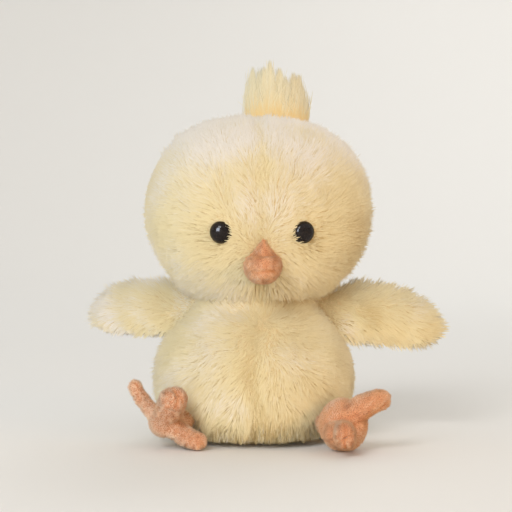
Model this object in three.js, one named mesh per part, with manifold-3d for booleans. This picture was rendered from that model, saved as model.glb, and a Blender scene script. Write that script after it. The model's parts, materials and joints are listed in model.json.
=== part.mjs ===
// A sitting plush chick: stuffed head, body, wings and feet, each of sewn cloth panels round its stuffing.
// Millimetres, +Z up, face towards -Y, origin at the middle of the flat base.
// Left is the chick's own left, +X.
import * as THREE from 'three';
import * as BufferGeometryUtils from 'three/addons/utils/BufferGeometryUtils.js';
import Module from 'manifold-3d';

const wasm = await Module();
wasm.setup();

// Cloth and seams
const seamGap = 0.3; // between neighbouring pieces
const plushThick = 2.2; // backing cloth with the packed roots of its pile
const shortPlushThick = 1.5; // the cloth of the beak and feet

// Body: a pear with a flat base
const bellyRadius = 50.4;
const bellyHeight = 33; // where the body is widest
const baseRadius = 26;
const neckRadius = 29;
const neckHeight = 78;
const shoulderRise = 22; // how far up the belly keeps its width
const shoulderDrop = 13; // how far below the neck the shoulder turns in
const shoulderFlare = 2.5; // how much wider than the neck the shoulder is there
const bodyDepthRatio = 0.96; // front to back, of the width
const pelletLevel = 22; // top of the pellet bag

// Neck: the head slides on a domed plug of stuffing, with a closing thread round its foot
const nodPivotDrop = 21; // centre of the dome, below the body's neck
const neckSlide = 0.5; // between the dome and the head's hollow
const threadRadius = 0.7;
const neckSlack = 0.4; // between the thread and the head's opening

// Head: wider than tall, fuller above its middle
const headHalfWidth = 57.5;
const headHalfDepth = 53;
const headRise = 48; // middle to crown
const headDrop = 49.5; // middle to chin
const crownFullness = 2.4; // exponent of the upper outline, where 2 is an ellipse
const headTurn = 3.8; // degrees at rest, towards +X

// Eyes: safety eyes, a domed button on a shank that a washer locks behind the cloth
const eyeRadius = 6;
const eyeBulge = 4.4;
const eyeSpacing = 43;
const eyeDrop = 10; // below the head's middle
const shankRadius = 1.7;
const shankLength = 9;
const washerRadius = 6.5;
const washerThick = 1.6;
const washerSeat = 1.6; // behind the cloth at the shank, clear of its curve

// Beak: a pointed upper panel over a rounded lower one. Drops are below the head's middle
const beakTipDrop = 13;
const beakFoldDrop = 22.5;
const beakWideDrop = 27;
const beakBottomDrop = 36.5;
const beakHalfWidth = 10.6;
const beakFoldHalfWidth = 8.2;
const beakTipHalfWidth = 1;
const beakReach = 8.5; // past the head's foremost point
const beakFoldReach = 6.6;
const beakTipReach = -0.5;
const beakBottomReach = -7;
const beakRootReach = -23; // inside the head, before the head cuts it

// Tuft: locks that stand in the crown seam
const tuftOffset = 10.5; // from the head's middle, towards +X
const tuftWidth = 28;
const tuftHeight = 34;
const tuftLean = 0.16; // share of its height that the last lock is shorter
const lockCount = 7;
const lockRadius = 5.8;
const lockTipRadius = 0.7;
const lockShort = 2.9; // how much shorter every second lock is
const lockStagger = 2.4; // forwards and backwards by turns
const tuftRootDepth = 6; // below the crown, before the head cuts it

// Wings: padded leaves sewn along a slanting seam
const wingSeamDrop = 12; // middle of the seam, below the body's neck
const wingSeamTilt = 35; // degrees from upright, top inwards
const wingRootHalfHeight = 9;
const wingRootHalfThick = 1.4;
const wingLength = 63;
const wingHalfHeight = 12.8;
const wingHalfThick = 8.6;
const wingWidest = 0.42; // share of the length where the wing is tallest
const wingTipBlunt = 0.985; // share of the last taper at which the tip closes
const wingArch = 4.5; // how far the middle rises above the line from seam to tip
const wingForward = -20; // degrees about the seam, at the limits of its swing
const wingBack = 45;
const wings = [
  { side: 'left', sign: 1, droop: 6, swept: 5 },
  { side: 'right', sign: -1, droop: -4, swept: 37 },
];

// Feet: three round toes on a palm, on a short leg
const toeRadius = 5.4;
const toeKnob = 5.1; // radius at the toe's end
const toeReach = 22; // palm's middle to the middle of the toe's end
const legRadius = 5.6;
const legBallRadius = 6;
const leftLegHeight = 15; // where the leg meets the body
const rightLegHeight = 16;
const floorClearance = 0.2;
const feet = [
  {
    side: 'left',
    sign: 1,
    bearing: 44, // of the leg's root, in degrees from the side towards the front
    aim: 62, // of the leg, the same way
    legHeight: leftLegHeight,
    legLength: 17.1,
    palmRadius: 12,
    toes: [ // the way each points, and its length and thickness beside the usual toe's
      { way: [0.774, -0.194, 0.603], long: 1.17, thick: 0.86 },
      { way: [-0.02, -1, -0.01], long: 1, thick: 1.05 },
      { way: [-0.35, -0.85, -0.15], long: 0.5, thick: 1.25 },
    ],
  },
  {
    side: 'right',
    sign: -1,
    bearing: 42,
    aim: 43,
    legHeight: rightLegHeight,
    legLength: 12,
    palmRadius: 9.2,
    toes: [
      { way: [-0.665, 0.165, 0.727], long: 1.1, thick: 0.62 },
      { way: [0.275, -0.674, 0.688], long: 0.81, thick: 1.3 },
      { way: [0.814, -0.372, -0.451], long: 0.98, thick: 0.88 },
    ],
  },
];

// How finely the curved forms are cut into faces
const skinSides = 32;
const liningSides = 20;
const skinRings = 7;
const liningRings = 5;
const beakSides = 16;
const wingSides = 12;
const lockSides = 6;
const smallSides = 8;
const liningSmallSides = 6;
const eyeSides = 16;
const endRings = 3; // from the side to the middle of a round end

const palette = {
  cream: { color: 0xeeddaf, roughness: 0.95 },
  tuft: { color: 0xf6d98a, roughness: 0.95 },
  salmon: { color: 0xdc9670, roughness: 0.92 },
  black: { color: 0x120d0c, roughness: 0.15 },
  washer: { color: 0xe8e6e0, roughness: 0.6 },
  fibre: { color: 0xf4f2ec, roughness: 1 },
  pellets: { color: 0xd9d4c6, roughness: 0.9 },
  thread: { color: 0xe3cf96, roughness: 0.9 },
};

const radians = THREE.MathUtils.degToRad;

// Turns a closed three.js geometry into a solid that can be cut and joined
function solidFrom(geometry) {
  const plain = geometry.clone();
  plain.deleteAttribute('normal');
  plain.deleteAttribute('uv');
  const merged = BufferGeometryUtils.mergeVertices(plain, 1e-4);
  const index = merged.index.array;
  const position = merged.attributes.position;
  const corners = [];
  let volume = 0;
  const a = new THREE.Vector3();
  const b = new THREE.Vector3();
  const c = new THREE.Vector3();
  for (let i = 0; i < index.length; i += 3) {
    const [p, q, r] = [index[i], index[i + 1], index[i + 2]];
    if (p === q || q === r || r === p) continue;
    corners.push(p, q, r);
    a.fromBufferAttribute(position, p);
    b.fromBufferAttribute(position, q);
    c.fromBufferAttribute(position, r);
    volume += a.dot(b.cross(c));
  }
  if (volume < 0) corners.reverse();
  return new wasm.Manifold(new wasm.Mesh({
    numProp: 3,
    vertProperties: new Float32Array(position.array),
    triVerts: new Uint32Array(corners),
  }));
}

function geometryFrom(solid) {
  const mesh = solid.getMesh();
  const geometry = new THREE.BufferGeometry();
  geometry.setAttribute('position', new THREE.BufferAttribute(new Float32Array(mesh.vertProperties), 3));
  geometry.setIndex(new THREE.BufferAttribute(new Uint32Array(mesh.triVerts), 1));
  geometry.computeVertexNormals();
  return geometry;
}

function pieceOf(name, solid, look) {
  const material = new THREE.MeshStandardMaterial({ ...palette[look], metalness: 0 });
  const mesh = new THREE.Mesh(geometryFrom(solid), material);
  mesh.name = name;
  return mesh;
}

// A turned solid about Z, from outline points of radius and height that start and end on the axis
function turned(points, sides, depthRatio = 1) {
  const geometry = new THREE.LatheGeometry(points, sides, Math.PI / sides);
  geometry.rotateX(Math.PI / 2);
  geometry.scale(1, depthRatio, 1);
  return solidFrom(geometry);
}

function ball(radius, sides) {
  const geometry = new THREE.SphereGeometry(radius, sides, sides / 2);
  geometry.rotateX(Math.PI / 2);
  return geometry;
}

// A closed skin over rings of points, each end closed by a fan
function lofted(rings) {
  const sides = rings[0].length;
  const points = rings.flat();
  const corners = [];
  for (let i = 0; i + 1 < rings.length; i += 1) {
    for (let j = 0; j < sides; j += 1) {
      const p = i * sides + j;
      const q = i * sides + ((j + 1) % sides);
      corners.push(p, q, q + sides, p, q + sides, p + sides);
    }
  }
  [[0, true], [rings.length - 1, false]].forEach(([ring, first]) => {
    const centre = new THREE.Vector3();
    rings[ring].forEach((point) => centre.add(point));
    points.push(centre.divideScalar(sides));
    for (let j = 0; j < sides; j += 1) {
      const p = ring * sides + j;
      const q = ring * sides + ((j + 1) % sides);
      corners.push(points.length - 1, first ? q : p, first ? p : q);
    }
  });
  const geometry = new THREE.BufferGeometry().setFromPoints(points);
  geometry.setIndex(corners);
  return solidFrom(geometry);
}

// Everything on the side of a plane that its normal points to
function halfSpace(point, normal) {
  const wide = 8 * headHalfWidth; // past every piece
  const geometry = new THREE.BoxGeometry(wide, wide, wide / 2);
  geometry.translate(0, 0, wide / 4);
  const turn = new THREE.Quaternion().setFromUnitVectors(new THREE.Vector3(0, 0, 1), normal);
  geometry.applyQuaternion(turn);
  geometry.translate(point.x, point.y, point.z);
  return solidFrom(geometry);
}

// One side of a seam plane, half the seam's gap away from it
function besideSeam(solid, point, normal) {
  const start = point.clone().addScaledVector(normal, seamGap / 2);
  return solid.intersect(halfSpace(start, normal));
}

const xAxis = new THREE.Vector3(1, 0, 0);
const yAxis = new THREE.Vector3(0, 1, 0);
const zAxis = new THREE.Vector3(0, 0, 1);
const origin = new THREE.Vector3();
const against = (axis) => axis.clone().negate();

// Body outline from the base's rim to the neck, moved inwards by a cloth's thickness
function bodyOutline(inwards, rings) {
  const lower = new THREE.EllipseCurve(
    baseRadius, bellyHeight, bellyRadius - baseRadius, bellyHeight, -Math.PI / 2, 0,
  );
  const upper = new THREE.CubicBezierCurve(
    new THREE.Vector2(bellyRadius, bellyHeight),
    new THREE.Vector2(bellyRadius, bellyHeight + shoulderRise),
    new THREE.Vector2(neckRadius + shoulderFlare, neckHeight - shoulderDrop),
    new THREE.Vector2(neckRadius, neckHeight),
  );
  const line = [...lower.getPoints(rings), ...upper.getPoints(rings).slice(1)];
  return line.map((point, i) => {
    const before = line[Math.max(i - 1, 0)];
    const after = line[Math.min(i + 1, line.length - 1)];
    const along = i === 0 ? new THREE.Vector2(1, 0) : after.clone().sub(before).normalize();
    return new THREE.Vector2(point.x - along.y * inwards, point.y + along.x * inwards);
  });
}

function bodySolid(inwards, sides, rings, top) {
  const line = bodyOutline(inwards, rings);
  const last = line[line.length - 1];
  last.y = top;
  return turned(
    [new THREE.Vector2(0, inwards), ...line, new THREE.Vector2(0, top)], sides, bodyDepthRatio,
  );
}

// A point of the body's face at a bearing and height, with the outward direction there
function bodyFace(bearing, height) {
  const line = bodyOutline(0, skinRings);
  const above = line.findIndex((point) => point.y >= height);
  const [low, high] = [line[above - 1], line[above]];
  const radius = THREE.MathUtils.mapLinear(height, low.y, high.y, low.x, high.x);
  const point = new THREE.Vector3(
    radius * Math.cos(bearing), radius * bodyDepthRatio * Math.sin(bearing), height,
  );
  const slope = (high.x - low.x) / (high.y - low.y);
  const outward = new THREE.Vector3(
    Math.cos(bearing), Math.sin(bearing) / bodyDepthRatio, -slope,
  ).normalize();
  return { point, outward };
}

// Body: two front panels, one back panel, a round base, stuffing over a bag of pellets
const bodyOuter = bodySolid(0, skinSides, skinRings, neckHeight);
const bodyCutter = bodySolid(-seamGap, skinSides, skinRings, neckHeight + seamGap);
const bodySkin = bodyOuter.subtract(bodySolid(plushThick, liningSides, liningRings, neckHeight + 1));

function plate(radius, low, high) {
  const geometry = new THREE.CylinderGeometry(radius, radius, high - low, skinSides);
  geometry.rotateX(Math.PI / 2);
  geometry.scale(1, bodyDepthRatio, 1);
  geometry.translate(0, 0, (low + high) / 2);
  return solidFrom(geometry);
}

const baseReach = [-plushThick, plushThick + 2 * seamGap];
const baseCloth = bodySkin.intersect(plate(baseRadius - seamGap / 2, ...baseReach));
const bodyWrap = bodySkin.subtract(plate(baseRadius + seamGap / 2, ...baseReach));
const bodyFront = besideSeam(bodyWrap, origin, against(yAxis));
const bodyFill = bodySolid(plushThick + seamGap, liningSides, liningRings, neckHeight);
const pelletTop = new THREE.Vector3(0, 0, pelletLevel);

const body = new THREE.Group();
body.add(
  pieceOf('body_front_left', besideSeam(bodyFront, origin, xAxis), 'cream'),
  pieceOf('body_front_right', besideSeam(bodyFront, origin, against(xAxis)), 'cream'),
  pieceOf('body_back', besideSeam(bodyWrap, origin, yAxis), 'cream'),
  pieceOf('body_base', baseCloth, 'cream'),
  pieceOf('body_stuffing', besideSeam(bodyFill, pelletTop, zAxis), 'fibre'),
  pieceOf('pellet_bag', besideSeam(bodyFill, pelletTop, against(zAxis)), 'pellets'),
);

// The head's opening is a ring as wide as the neck, just above the thread, and places the head
const seatHeight = neckHeight + 2 * seamGap + 2 * threadRadius + neckSlack;
const headCentreHeight = seatHeight + headDrop * Math.sqrt(1 - (neckRadius / headHalfWidth) ** 2);
const nodPivot = new THREE.Vector3(0, 0, neckHeight - nodPivotDrop);
const socketRadius = Math.hypot(neckRadius, seatHeight - nodPivot.z);

// Neck: a plug of stuffing with a ball's top, whose foot the closing thread goes round
const domeRadius = socketRadius - neckSlide;
const neckPlugRadius = neckRadius - 2 * threadRadius - 2 * seamGap;

function neckPlug() {
  const low = neckHeight + seamGap;
  const edge = Math.asin(neckPlugRadius / domeRadius);
  const dome = Array.from({ length: liningRings + 1 }, (_, i) => {
    const angle = edge * (1 - i / liningRings);
    return new THREE.Vector2(
      i === liningRings ? 0 : domeRadius * Math.sin(angle), nodPivot.z + domeRadius * Math.cos(angle),
    );
  });
  return turned([new THREE.Vector2(0, low), new THREE.Vector2(neckPlugRadius, low), ...dome], liningSides);
}

function neckThread() {
  const around = neckPlugRadius + seamGap + threadRadius;
  const geometry = new THREE.TorusGeometry(around, threadRadius, liningSmallSides, skinSides);
  geometry.translate(0, 0, neckHeight + seamGap + threadRadius);
  return solidFrom(geometry);
}

const neck = new THREE.Group();
neck.add(
  pieceOf('neck_stuffing', neckPlug(), 'fibre'),
  pieceOf('neck_thread', neckThread(), 'thread'),
);

// Head: two face panels and a back panel round the stuffing, hollow below where the neck's dome enters
function headOutline(inwards, rings) {
  const [width, rise, drop] = [headHalfWidth, headRise, headDrop].map((size) => size - inwards);
  return Array.from({ length: 2 * rings + 1 }, (_, i) => {
    const angle = (Math.PI / 2) * (i / rings - 1);
    const power = angle > 0 ? 2 / crownFullness : 1;
    const across = i % (2 * rings) === 0 ? 0 : Math.cos(angle) ** power;
    const up = Math.sign(angle) * Math.abs(Math.sin(angle)) ** power;
    return new THREE.Vector2(width * across, headCentreHeight + (angle > 0 ? rise : drop) * up);
  });
}

function headSolid(inwards, sides, rings) {
  const depthRatio = (headHalfDepth - inwards) / (headHalfWidth - inwards);
  return turned(headOutline(inwards, rings), sides, depthRatio);
}

function socket(radius, sides) {
  const geometry = ball(radius, sides);
  geometry.translate(nodPivot.x, nodPivot.y, nodPivot.z);
  return solidFrom(geometry);
}

// A point of the head's face at a height and a distance from its middle plane, with the outward direction
function headFace(across, height) {
  const up = (height - headCentreHeight) / headDrop;
  const side = across / headHalfWidth;
  const depth = headHalfDepth * Math.sqrt(1 - up * up - side * side);
  const point = new THREE.Vector3(across, -depth, height);
  const outward = new THREE.Vector3(
    side / headHalfWidth, -depth / headHalfDepth ** 2, up / headDrop,
  ).normalize();
  return { point, outward };
}

// Places a geometry built along +Z so that +Z points outwards from a face
function onFace(geometry, { point, outward }) {
  geometry.applyQuaternion(new THREE.Quaternion().setFromUnitVectors(zAxis, outward));
  geometry.translate(point.x, point.y, point.z);
  return solidFrom(geometry);
}

function post(radius, low, high, sides) {
  const geometry = new THREE.CylinderGeometry(radius, radius, high - low, sides);
  geometry.rotateX(Math.PI / 2);
  geometry.translate(0, 0, (low + high) / 2);
  return geometry;
}

// An eye from the end of its shank to the top of its dome, on the Z axis
function eyeButton() {
  const dome = Array.from({ length: liningRings + 1 }, (_, i) => {
    const angle = (Math.PI / 2) * (i / liningRings);
    const across = i === liningRings ? 0 : eyeRadius * Math.cos(angle);
    return new THREE.Vector2(across, 2 * seamGap + eyeBulge * Math.sin(angle));
  });
  const geometry = new THREE.LatheGeometry([
    new THREE.Vector2(0, -shankLength),
    new THREE.Vector2(shankRadius, -shankLength),
    new THREE.Vector2(shankRadius, seamGap),
    new THREE.Vector2(eyeRadius, seamGap),
    ...dome,
  ], eyeSides);
  geometry.rotateX(Math.PI / 2);
  return geometry;
}

const eyePlaces = [1, -1].map((sign) => ({
  name: sign > 0 ? 'left' : 'right',
  face: headFace((sign * eyeSpacing) / 2, headCentreHeight - eyeDrop),
}));
const washerDepth = plushThick + washerSeat;

const headCutter = headSolid(-seamGap, skinSides, skinRings);
let headSkin = headSolid(0, skinSides, skinRings)
  .subtract(headSolid(plushThick, liningSides, liningRings))
  .subtract(socket(socketRadius, skinSides));
let headFill = headSolid(plushThick + seamGap, liningSides, liningRings)
  .subtract(socket(socketRadius + seamGap, liningSides));
eyePlaces.forEach(({ face }) => {
  const washerEnd = washerDepth + washerThick + seamGap;
  headSkin = headSkin
    .subtract(onFace(post(shankRadius + seamGap, -2 * plushThick, plushThick, smallSides), face));
  headFill = headFill
    .subtract(onFace(post(shankRadius + seamGap, -shankLength - seamGap, 0, smallSides), face))
    .subtract(onFace(post(washerRadius + seamGap, -washerEnd, 0, liningSides), face));
});

const head = new THREE.Group();
head.rotation.z = radians(headTurn);
const headFront = besideSeam(headSkin, origin, against(yAxis));
head.add(
  pieceOf('head_face_left', besideSeam(headFront, origin, xAxis), 'cream'),
  pieceOf('head_face_right', besideSeam(headFront, origin, against(xAxis)), 'cream'),
  pieceOf('head_back', besideSeam(headSkin, origin, yAxis), 'cream'),
  pieceOf('head_stuffing', headFill, 'fibre'),
);
eyePlaces.forEach(({ name, face }) => {
  const ring = solidFrom(post(washerRadius, -washerDepth - washerThick, -washerDepth, liningSides))
    .subtract(solidFrom(post(shankRadius + seamGap, -shankLength, 0, smallSides)));
  head.add(
    pieceOf(`eye_${name}`, onFace(eyeButton(), face), 'black'),
    pieceOf(`eye_washer_${name}`, onFace(geometryFrom(ring), face), 'washer'),
  );
});

// Beak: level rings from the bottom to the tip, cut by the head and parted at the fold
function beakForm(inwards) {
  const lowShares = [0.12, 0.35, 0.65, 1]; // of the way from the bottom to the widest ring
  const highShares = [0.5, 1]; // of the way from the fold to the tip
  const low = lowShares.map((share) => {
    const around = Math.sqrt(1 - (1 - share) ** 2);
    return {
      drop: THREE.MathUtils.lerp(beakBottomDrop - inwards, beakWideDrop, share),
      width: (beakHalfWidth - inwards) * around,
      reach: THREE.MathUtils.lerp(beakBottomReach, beakReach, around) - inwards,
    };
  });
  const fold = {
    drop: beakFoldDrop, width: beakFoldHalfWidth - inwards, reach: beakFoldReach - inwards,
  };
  const high = highShares.map((share) => ({
    drop: THREE.MathUtils.lerp(beakFoldDrop, beakTipDrop + inwards, share),
    width: THREE.MathUtils.lerp(fold.width, beakTipHalfWidth, share),
    reach: THREE.MathUtils.lerp(fold.reach, beakTipReach - inwards, share),
  }));
  return lofted([...low, fold, ...high].map(({ drop, width, reach }) => (
    Array.from({ length: beakSides }, (_, i) => {
      const angle = (2 * Math.PI * i) / beakSides;
      const forward = beakRootReach + ((reach - beakRootReach) / 2) * (1 + Math.cos(angle));
      return new THREE.Vector3(
        width * Math.sin(angle), -headHalfDepth - forward, headCentreHeight - drop,
      );
    })
  )));
}

const beakSkin = beakForm(0).subtract(headCutter).subtract(beakForm(shortPlushThick));
const beakFill = beakForm(shortPlushThick + seamGap).subtract(headCutter);
const beakFold = new THREE.Vector3(0, 0, headCentreHeight - beakFoldDrop);
head.add(
  pieceOf('beak_upper', besideSeam(beakSkin, beakFold, zAxis), 'salmon'),
  pieceOf('beak_lower', besideSeam(beakSkin, beakFold, against(zAxis)), 'salmon'),
  pieceOf('beak_stuffing', beakFill, 'fibre'),
);

// Tuft: a row of tapering locks joined at their roots
function tuftForm() {
  const crown = headCentreHeight + headRise;
  const steps = [0, 0.5, 0.8, 1]; // up a lock
  const locks = Array.from({ length: lockCount }, (_, i) => {
    const share = i / (lockCount - 1);
    const across = tuftOffset + (share - 0.5) * tuftWidth;
    const height = tuftHeight * (1 - tuftLean * share) - (i % 2) * lockShort;
    const stagger = lockStagger * (i % 2 === 0 ? 1 : -1);
    return lofted(steps.map((step) => {
      const radius = THREE.MathUtils.lerp(lockRadius, lockTipRadius, step ** 1.5);
      const middle = new THREE.Vector3(
        across - (share - 0.5) * lockRadius * step,
        stagger * (1 - step / 2),
        THREE.MathUtils.lerp(crown - tuftRootDepth, crown + height, step),
      );
      return Array.from({ length: lockSides }, (__, j) => {
        const angle = (2 * Math.PI * (j + share)) / lockSides;
        return middle.clone().add(new THREE.Vector3(radius * Math.cos(angle), radius * Math.sin(angle), 0));
      });
    }));
  });
  return locks.reduce((joined, lock) => joined.add(lock)).subtract(headCutter);
}

head.add(pieceOf('tuft', tuftForm(), 'tuft'));

// Wings: upright rings from the slanting seam to the tip, as seen on the left side
function wingForm(sign, droop, inwards) {
  const slant = -Math.tan(radians(wingSeamTilt + droop));
  const inner = [0.06, 0.16, 0.3, wingWidest]; // shares of the length
  const outer = [0.24, 0.48, 0.69, 0.84, 0.95, 1]; // shares of the way from the widest ring to the tip
  const steps = [...inner, ...outer.map((share) => THREE.MathUtils.lerp(wingWidest, 1, share))];
  const root = inwards > 0 ? [] : [-0.03]; // past the seam, for the body to cut
  return lofted([...root, ...steps].map((step) => {
    const past = THREE.MathUtils.clamp((step - wingWidest) / (1 - wingWidest), 0, wingTipBlunt);
    const swell = Math.sin((Math.PI / 2) * THREE.MathUtils.clamp(step / wingWidest, 0, 1));
    const close = Math.sqrt(1 - past ** 2.4);
    const tall = THREE.MathUtils.lerp(wingRootHalfHeight, wingHalfHeight, swell) * close;
    const thick = THREE.MathUtils.lerp(wingRootHalfThick, wingHalfThick, swell) * close;
    const along = step * wingLength - inwards * (step > wingWidest ? step : 0);
    const rise = wingArch * 4 * step * (1 - step);
    const lean = slant * (1 - step) ** 1.5;
    return Array.from({ length: wingSides }, (_, i) => {
      const angle = (2 * Math.PI * (i + 0.5)) / wingSides;
      const up = Math.max(tall - inwards, seamGap) * Math.cos(angle);
      const out = Math.max(thick - inwards, seamGap) * Math.sin(angle);
      return new THREE.Vector3(sign * (along + lean * up), out, up + rise);
    });
  }));
}

function wingAssembly({ side, sign, droop, swept }) {
  const seat = bodyFace(0, neckHeight - wingSeamDrop);
  const tilt = radians(wingSeamTilt);
  const seam = new THREE.Vector3(-sign * Math.sin(tilt), 0, Math.cos(tilt));
  const wing = new THREE.Group();
  wing.position.set(sign * (seat.point.x + seamGap), 0, seat.point.z);
  wing.quaternion
    .setFromAxisAngle(seam, sign * radians(swept))
    .multiply(new THREE.Quaternion().setFromAxisAngle(yAxis, sign * radians(droop)));
  wing.updateMatrix();
  const seamHere = seam.clone().applyQuaternion(wing.quaternion.clone().invert());
  const shares = [0, 0.25, 0.5, 0.75, 1]; // of the swing, at each of which the body clears the wing's root
  const swings = shares.map((share) => THREE.MathUtils.lerp(wingForward, wingBack, share) - swept);
  const outer = [0, ...swings].reduce((form, swing) => {
    const turn = new THREE.Matrix4().makeRotationAxis(seamHere, -sign * radians(swing));
    return form.subtract(bodyCutter.transform(turn.multiply(wing.matrix.clone().invert()).elements));
  }, wingForm(sign, droop, 0));
  const skin = outer.subtract(wingForm(sign, droop, plushThick));
  wing.add(
    pieceOf(`wing_${side}_front`, besideSeam(skin, origin, against(yAxis)), 'cream'),
    pieceOf(`wing_${side}_back`, besideSeam(skin, origin, yAxis), 'cream'),
    pieceOf(`wing_${side}_stuffing`, wingForm(sign, droop, plushThick + seamGap), 'fibre'),
  );
  return wing;
}

// Feet: a rounded rod with a ball at each end, from one middle to the other
function rod(from, to, startRadius, endRadius, sides) {
  const length = from.distanceTo(to);
  const arc = (radius, height, first) => Array.from({ length: endRings + 1 }, (_, i) => {
    const angle = (Math.PI / 2) * (i / endRings - (first ? 1 : 0));
    const onAxis = first ? i === 0 : i === endRings;
    return new THREE.Vector2(onAxis ? 0 : radius * Math.cos(angle), height + radius * Math.sin(angle));
  });
  const outline = [...arc(startRadius, 0, true), ...arc(endRadius, length, false)];
  const geometry = new THREE.LatheGeometry(outline, sides);
  geometry.applyQuaternion(
    new THREE.Quaternion().setFromUnitVectors(yAxis, to.clone().sub(from).divideScalar(length)),
  );
  geometry.translate(from.x, from.y, from.z);
  return solidFrom(geometry);
}

function footForm(palm, palmRadius, toes, inwards, sides) {
  const middle = ball(palmRadius - inwards, sides + 2);
  middle.translate(palm.x, palm.y, palm.z);
  const leg = rod(origin, palm, legBallRadius - inwards, legRadius - inwards, sides);
  const start = solidFrom(middle).add(leg);
  return toes.reduce((joined, { way, long, thick }) => {
    const end = palm.clone().addScaledVector(way, toeReach * long);
    return joined.add(rod(palm, end, toeRadius * thick - inwards, toeKnob * thick - inwards, sides));
  }, start);
}

// The foot's own origin is the middle of the ball at the top of its leg, where it turns
function footAssembly({ side, sign, bearing, aim, legHeight, legLength, palmRadius, toes }) {
  const azimuth = sign > 0 ? -radians(bearing) : Math.PI + radians(bearing);
  const { point, outward } = bodyFace(azimuth, legHeight);
  const foot = new THREE.Group();
  foot.position.copy(point).addScaledVector(outward, legBallRadius + seamGap);
  const palm = new THREE.Vector3(sign * Math.cos(radians(aim)), -Math.sin(radians(aim)), 0);
  palm.multiplyScalar(legLength);
  const spread = toes.map((toe) => ({ ...toe, way: new THREE.Vector3(...toe.way).normalize() }));
  const tipDepths = spread.map(({ way, long, thick }) => toeKnob * thick - toeReach * long * way.z);
  palm.z = Math.max(palmRadius, ...tipDepths) + floorClearance - foot.position.z;
  const [outerToe, middleToe, innerToe] = spread.map(({ way }) => way);
  const flat = middleToe.clone().cross(outerToe.clone().sub(innerToe)).normalize();
  const skin = footForm(palm, palmRadius, spread, 0, smallSides)
    .subtract(footForm(palm, palmRadius, spread, shortPlushThick, liningSmallSides));
  const fill = footForm(palm, palmRadius, spread, shortPlushThick + seamGap, liningSmallSides);
  foot.add(
    pieceOf(`foot_${side}_upper`, besideSeam(skin, palm, flat), 'salmon'),
    pieceOf(`foot_${side}_sole`, besideSeam(skin, palm, against(flat)), 'salmon'),
    pieceOf(`foot_${side}_stuffing`, fill, 'fibre'),
  );
  return foot;
}

const chick = new THREE.Group();
chick.add(body, neck, head, ...wings.map(wingAssembly), ...feet.map(footAssembly));

export default chick;
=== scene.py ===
import json
import math
import bpy
import numpy as np
from mathutils import Matrix, Quaternion, Vector, kdtree

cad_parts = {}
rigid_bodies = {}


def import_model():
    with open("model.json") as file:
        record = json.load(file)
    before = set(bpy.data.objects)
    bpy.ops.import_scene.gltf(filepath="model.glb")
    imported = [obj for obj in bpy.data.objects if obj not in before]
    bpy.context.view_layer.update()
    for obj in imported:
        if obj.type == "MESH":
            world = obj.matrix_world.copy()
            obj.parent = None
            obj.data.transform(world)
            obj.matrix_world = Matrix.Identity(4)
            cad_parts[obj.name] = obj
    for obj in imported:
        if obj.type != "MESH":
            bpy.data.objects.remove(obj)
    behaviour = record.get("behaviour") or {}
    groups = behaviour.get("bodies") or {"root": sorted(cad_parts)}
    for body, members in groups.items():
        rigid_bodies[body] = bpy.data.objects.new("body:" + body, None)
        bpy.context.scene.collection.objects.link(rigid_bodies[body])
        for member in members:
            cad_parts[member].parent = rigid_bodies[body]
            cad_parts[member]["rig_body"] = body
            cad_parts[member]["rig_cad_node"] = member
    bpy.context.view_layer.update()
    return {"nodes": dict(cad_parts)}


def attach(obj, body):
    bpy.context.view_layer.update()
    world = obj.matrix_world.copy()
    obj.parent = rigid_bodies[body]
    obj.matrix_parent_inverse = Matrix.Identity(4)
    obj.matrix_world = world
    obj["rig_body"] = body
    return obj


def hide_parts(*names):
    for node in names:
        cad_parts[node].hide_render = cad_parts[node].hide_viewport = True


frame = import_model()
scene = bpy.context.scene
mm = 0.001
print("frame loaded")


# Camera and stage
view = {
    "distance": 0.85,  # from the chick's middle line
    "elevation": 2.0,
    "aimHeight": 0.0995,
    "lens": 108.7,
}
stage = {
    "floorRadius": 1.2,
    "wallRadius": 2.3,
    "wallHeight": 1.3,
    "innerRadii": (0.05, 0.6),
    "wallSteps": 12,
    "sides": 96,
    "worldLight": 0.5,
    "aimHeight": 0.1,  # of the lamps
}
# place, size, power and colour of each
lamps = {
    "key": ((-0.85, -1.6, 1.35), 0.8, 19.8, (1, 1, 1)),
    "fill": ((0.8, -0.75, 0.25), 0.42, 2.2, (1, 0.5, 0.1)),
    "front": ((-0.1, -1.17, 0.2), 0.42, 0.9, (1, 0.88, 0.66)),
    "back": ((0.6, 1.6, 1.4), 1.2, 11.0, (1, 1, 1)),
    "glint": ((-0.85, -1.1, 0.4), 0.6, 24.0, (0.78, 0.86, 1)),
}


def clearSelection():
    if bpy.context.object and bpy.context.object.mode != "OBJECT":
        bpy.ops.object.mode_set(mode="OBJECT")
    bpy.ops.object.select_all(action="DESELECT")


def workOn(piece):
    clearSelection()
    piece.select_set(True)
    bpy.context.view_layer.objects.active = piece


def startEdit(piece, action="SELECT"):
    workOn(piece)
    bpy.ops.object.mode_set(mode="EDIT")
    bpy.ops.mesh.select_mode(type="VERT")
    bpy.ops.mesh.select_all(action=action)


def endEdit():
    bpy.ops.object.mode_set(mode="OBJECT")


# Edit mode with the chosen points selected alone
def editPoints(piece, chosen):
    startEdit(piece, "DESELECT")
    endEdit()
    for vertex, here in zip(piece.data.vertices, chosen):
        vertex.select = bool(here)
    bpy.ops.object.mode_set(mode="EDIT")


def aimAt(thing, target):
    way = Vector(target) - thing.location
    thing.rotation_euler = way.to_track_quat("-Z", "Y").to_euler()


def makeCamera():
    tilt = math.radians(view["elevation"])
    bpy.ops.object.camera_add()
    camera = bpy.context.object
    camera.data.lens = view["lens"]
    camera.data.sensor_width = 36
    camera.data.clip_start = 0.05
    camera.location = (
        0,
        -view["distance"] * math.cos(tilt),
        view["aimHeight"] + view["distance"] * math.sin(tilt),
    )
    aimAt(camera, (0, 0, view["aimHeight"]))
    scene.camera = camera
    scene.view_settings.view_transform = "Standard"


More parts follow.
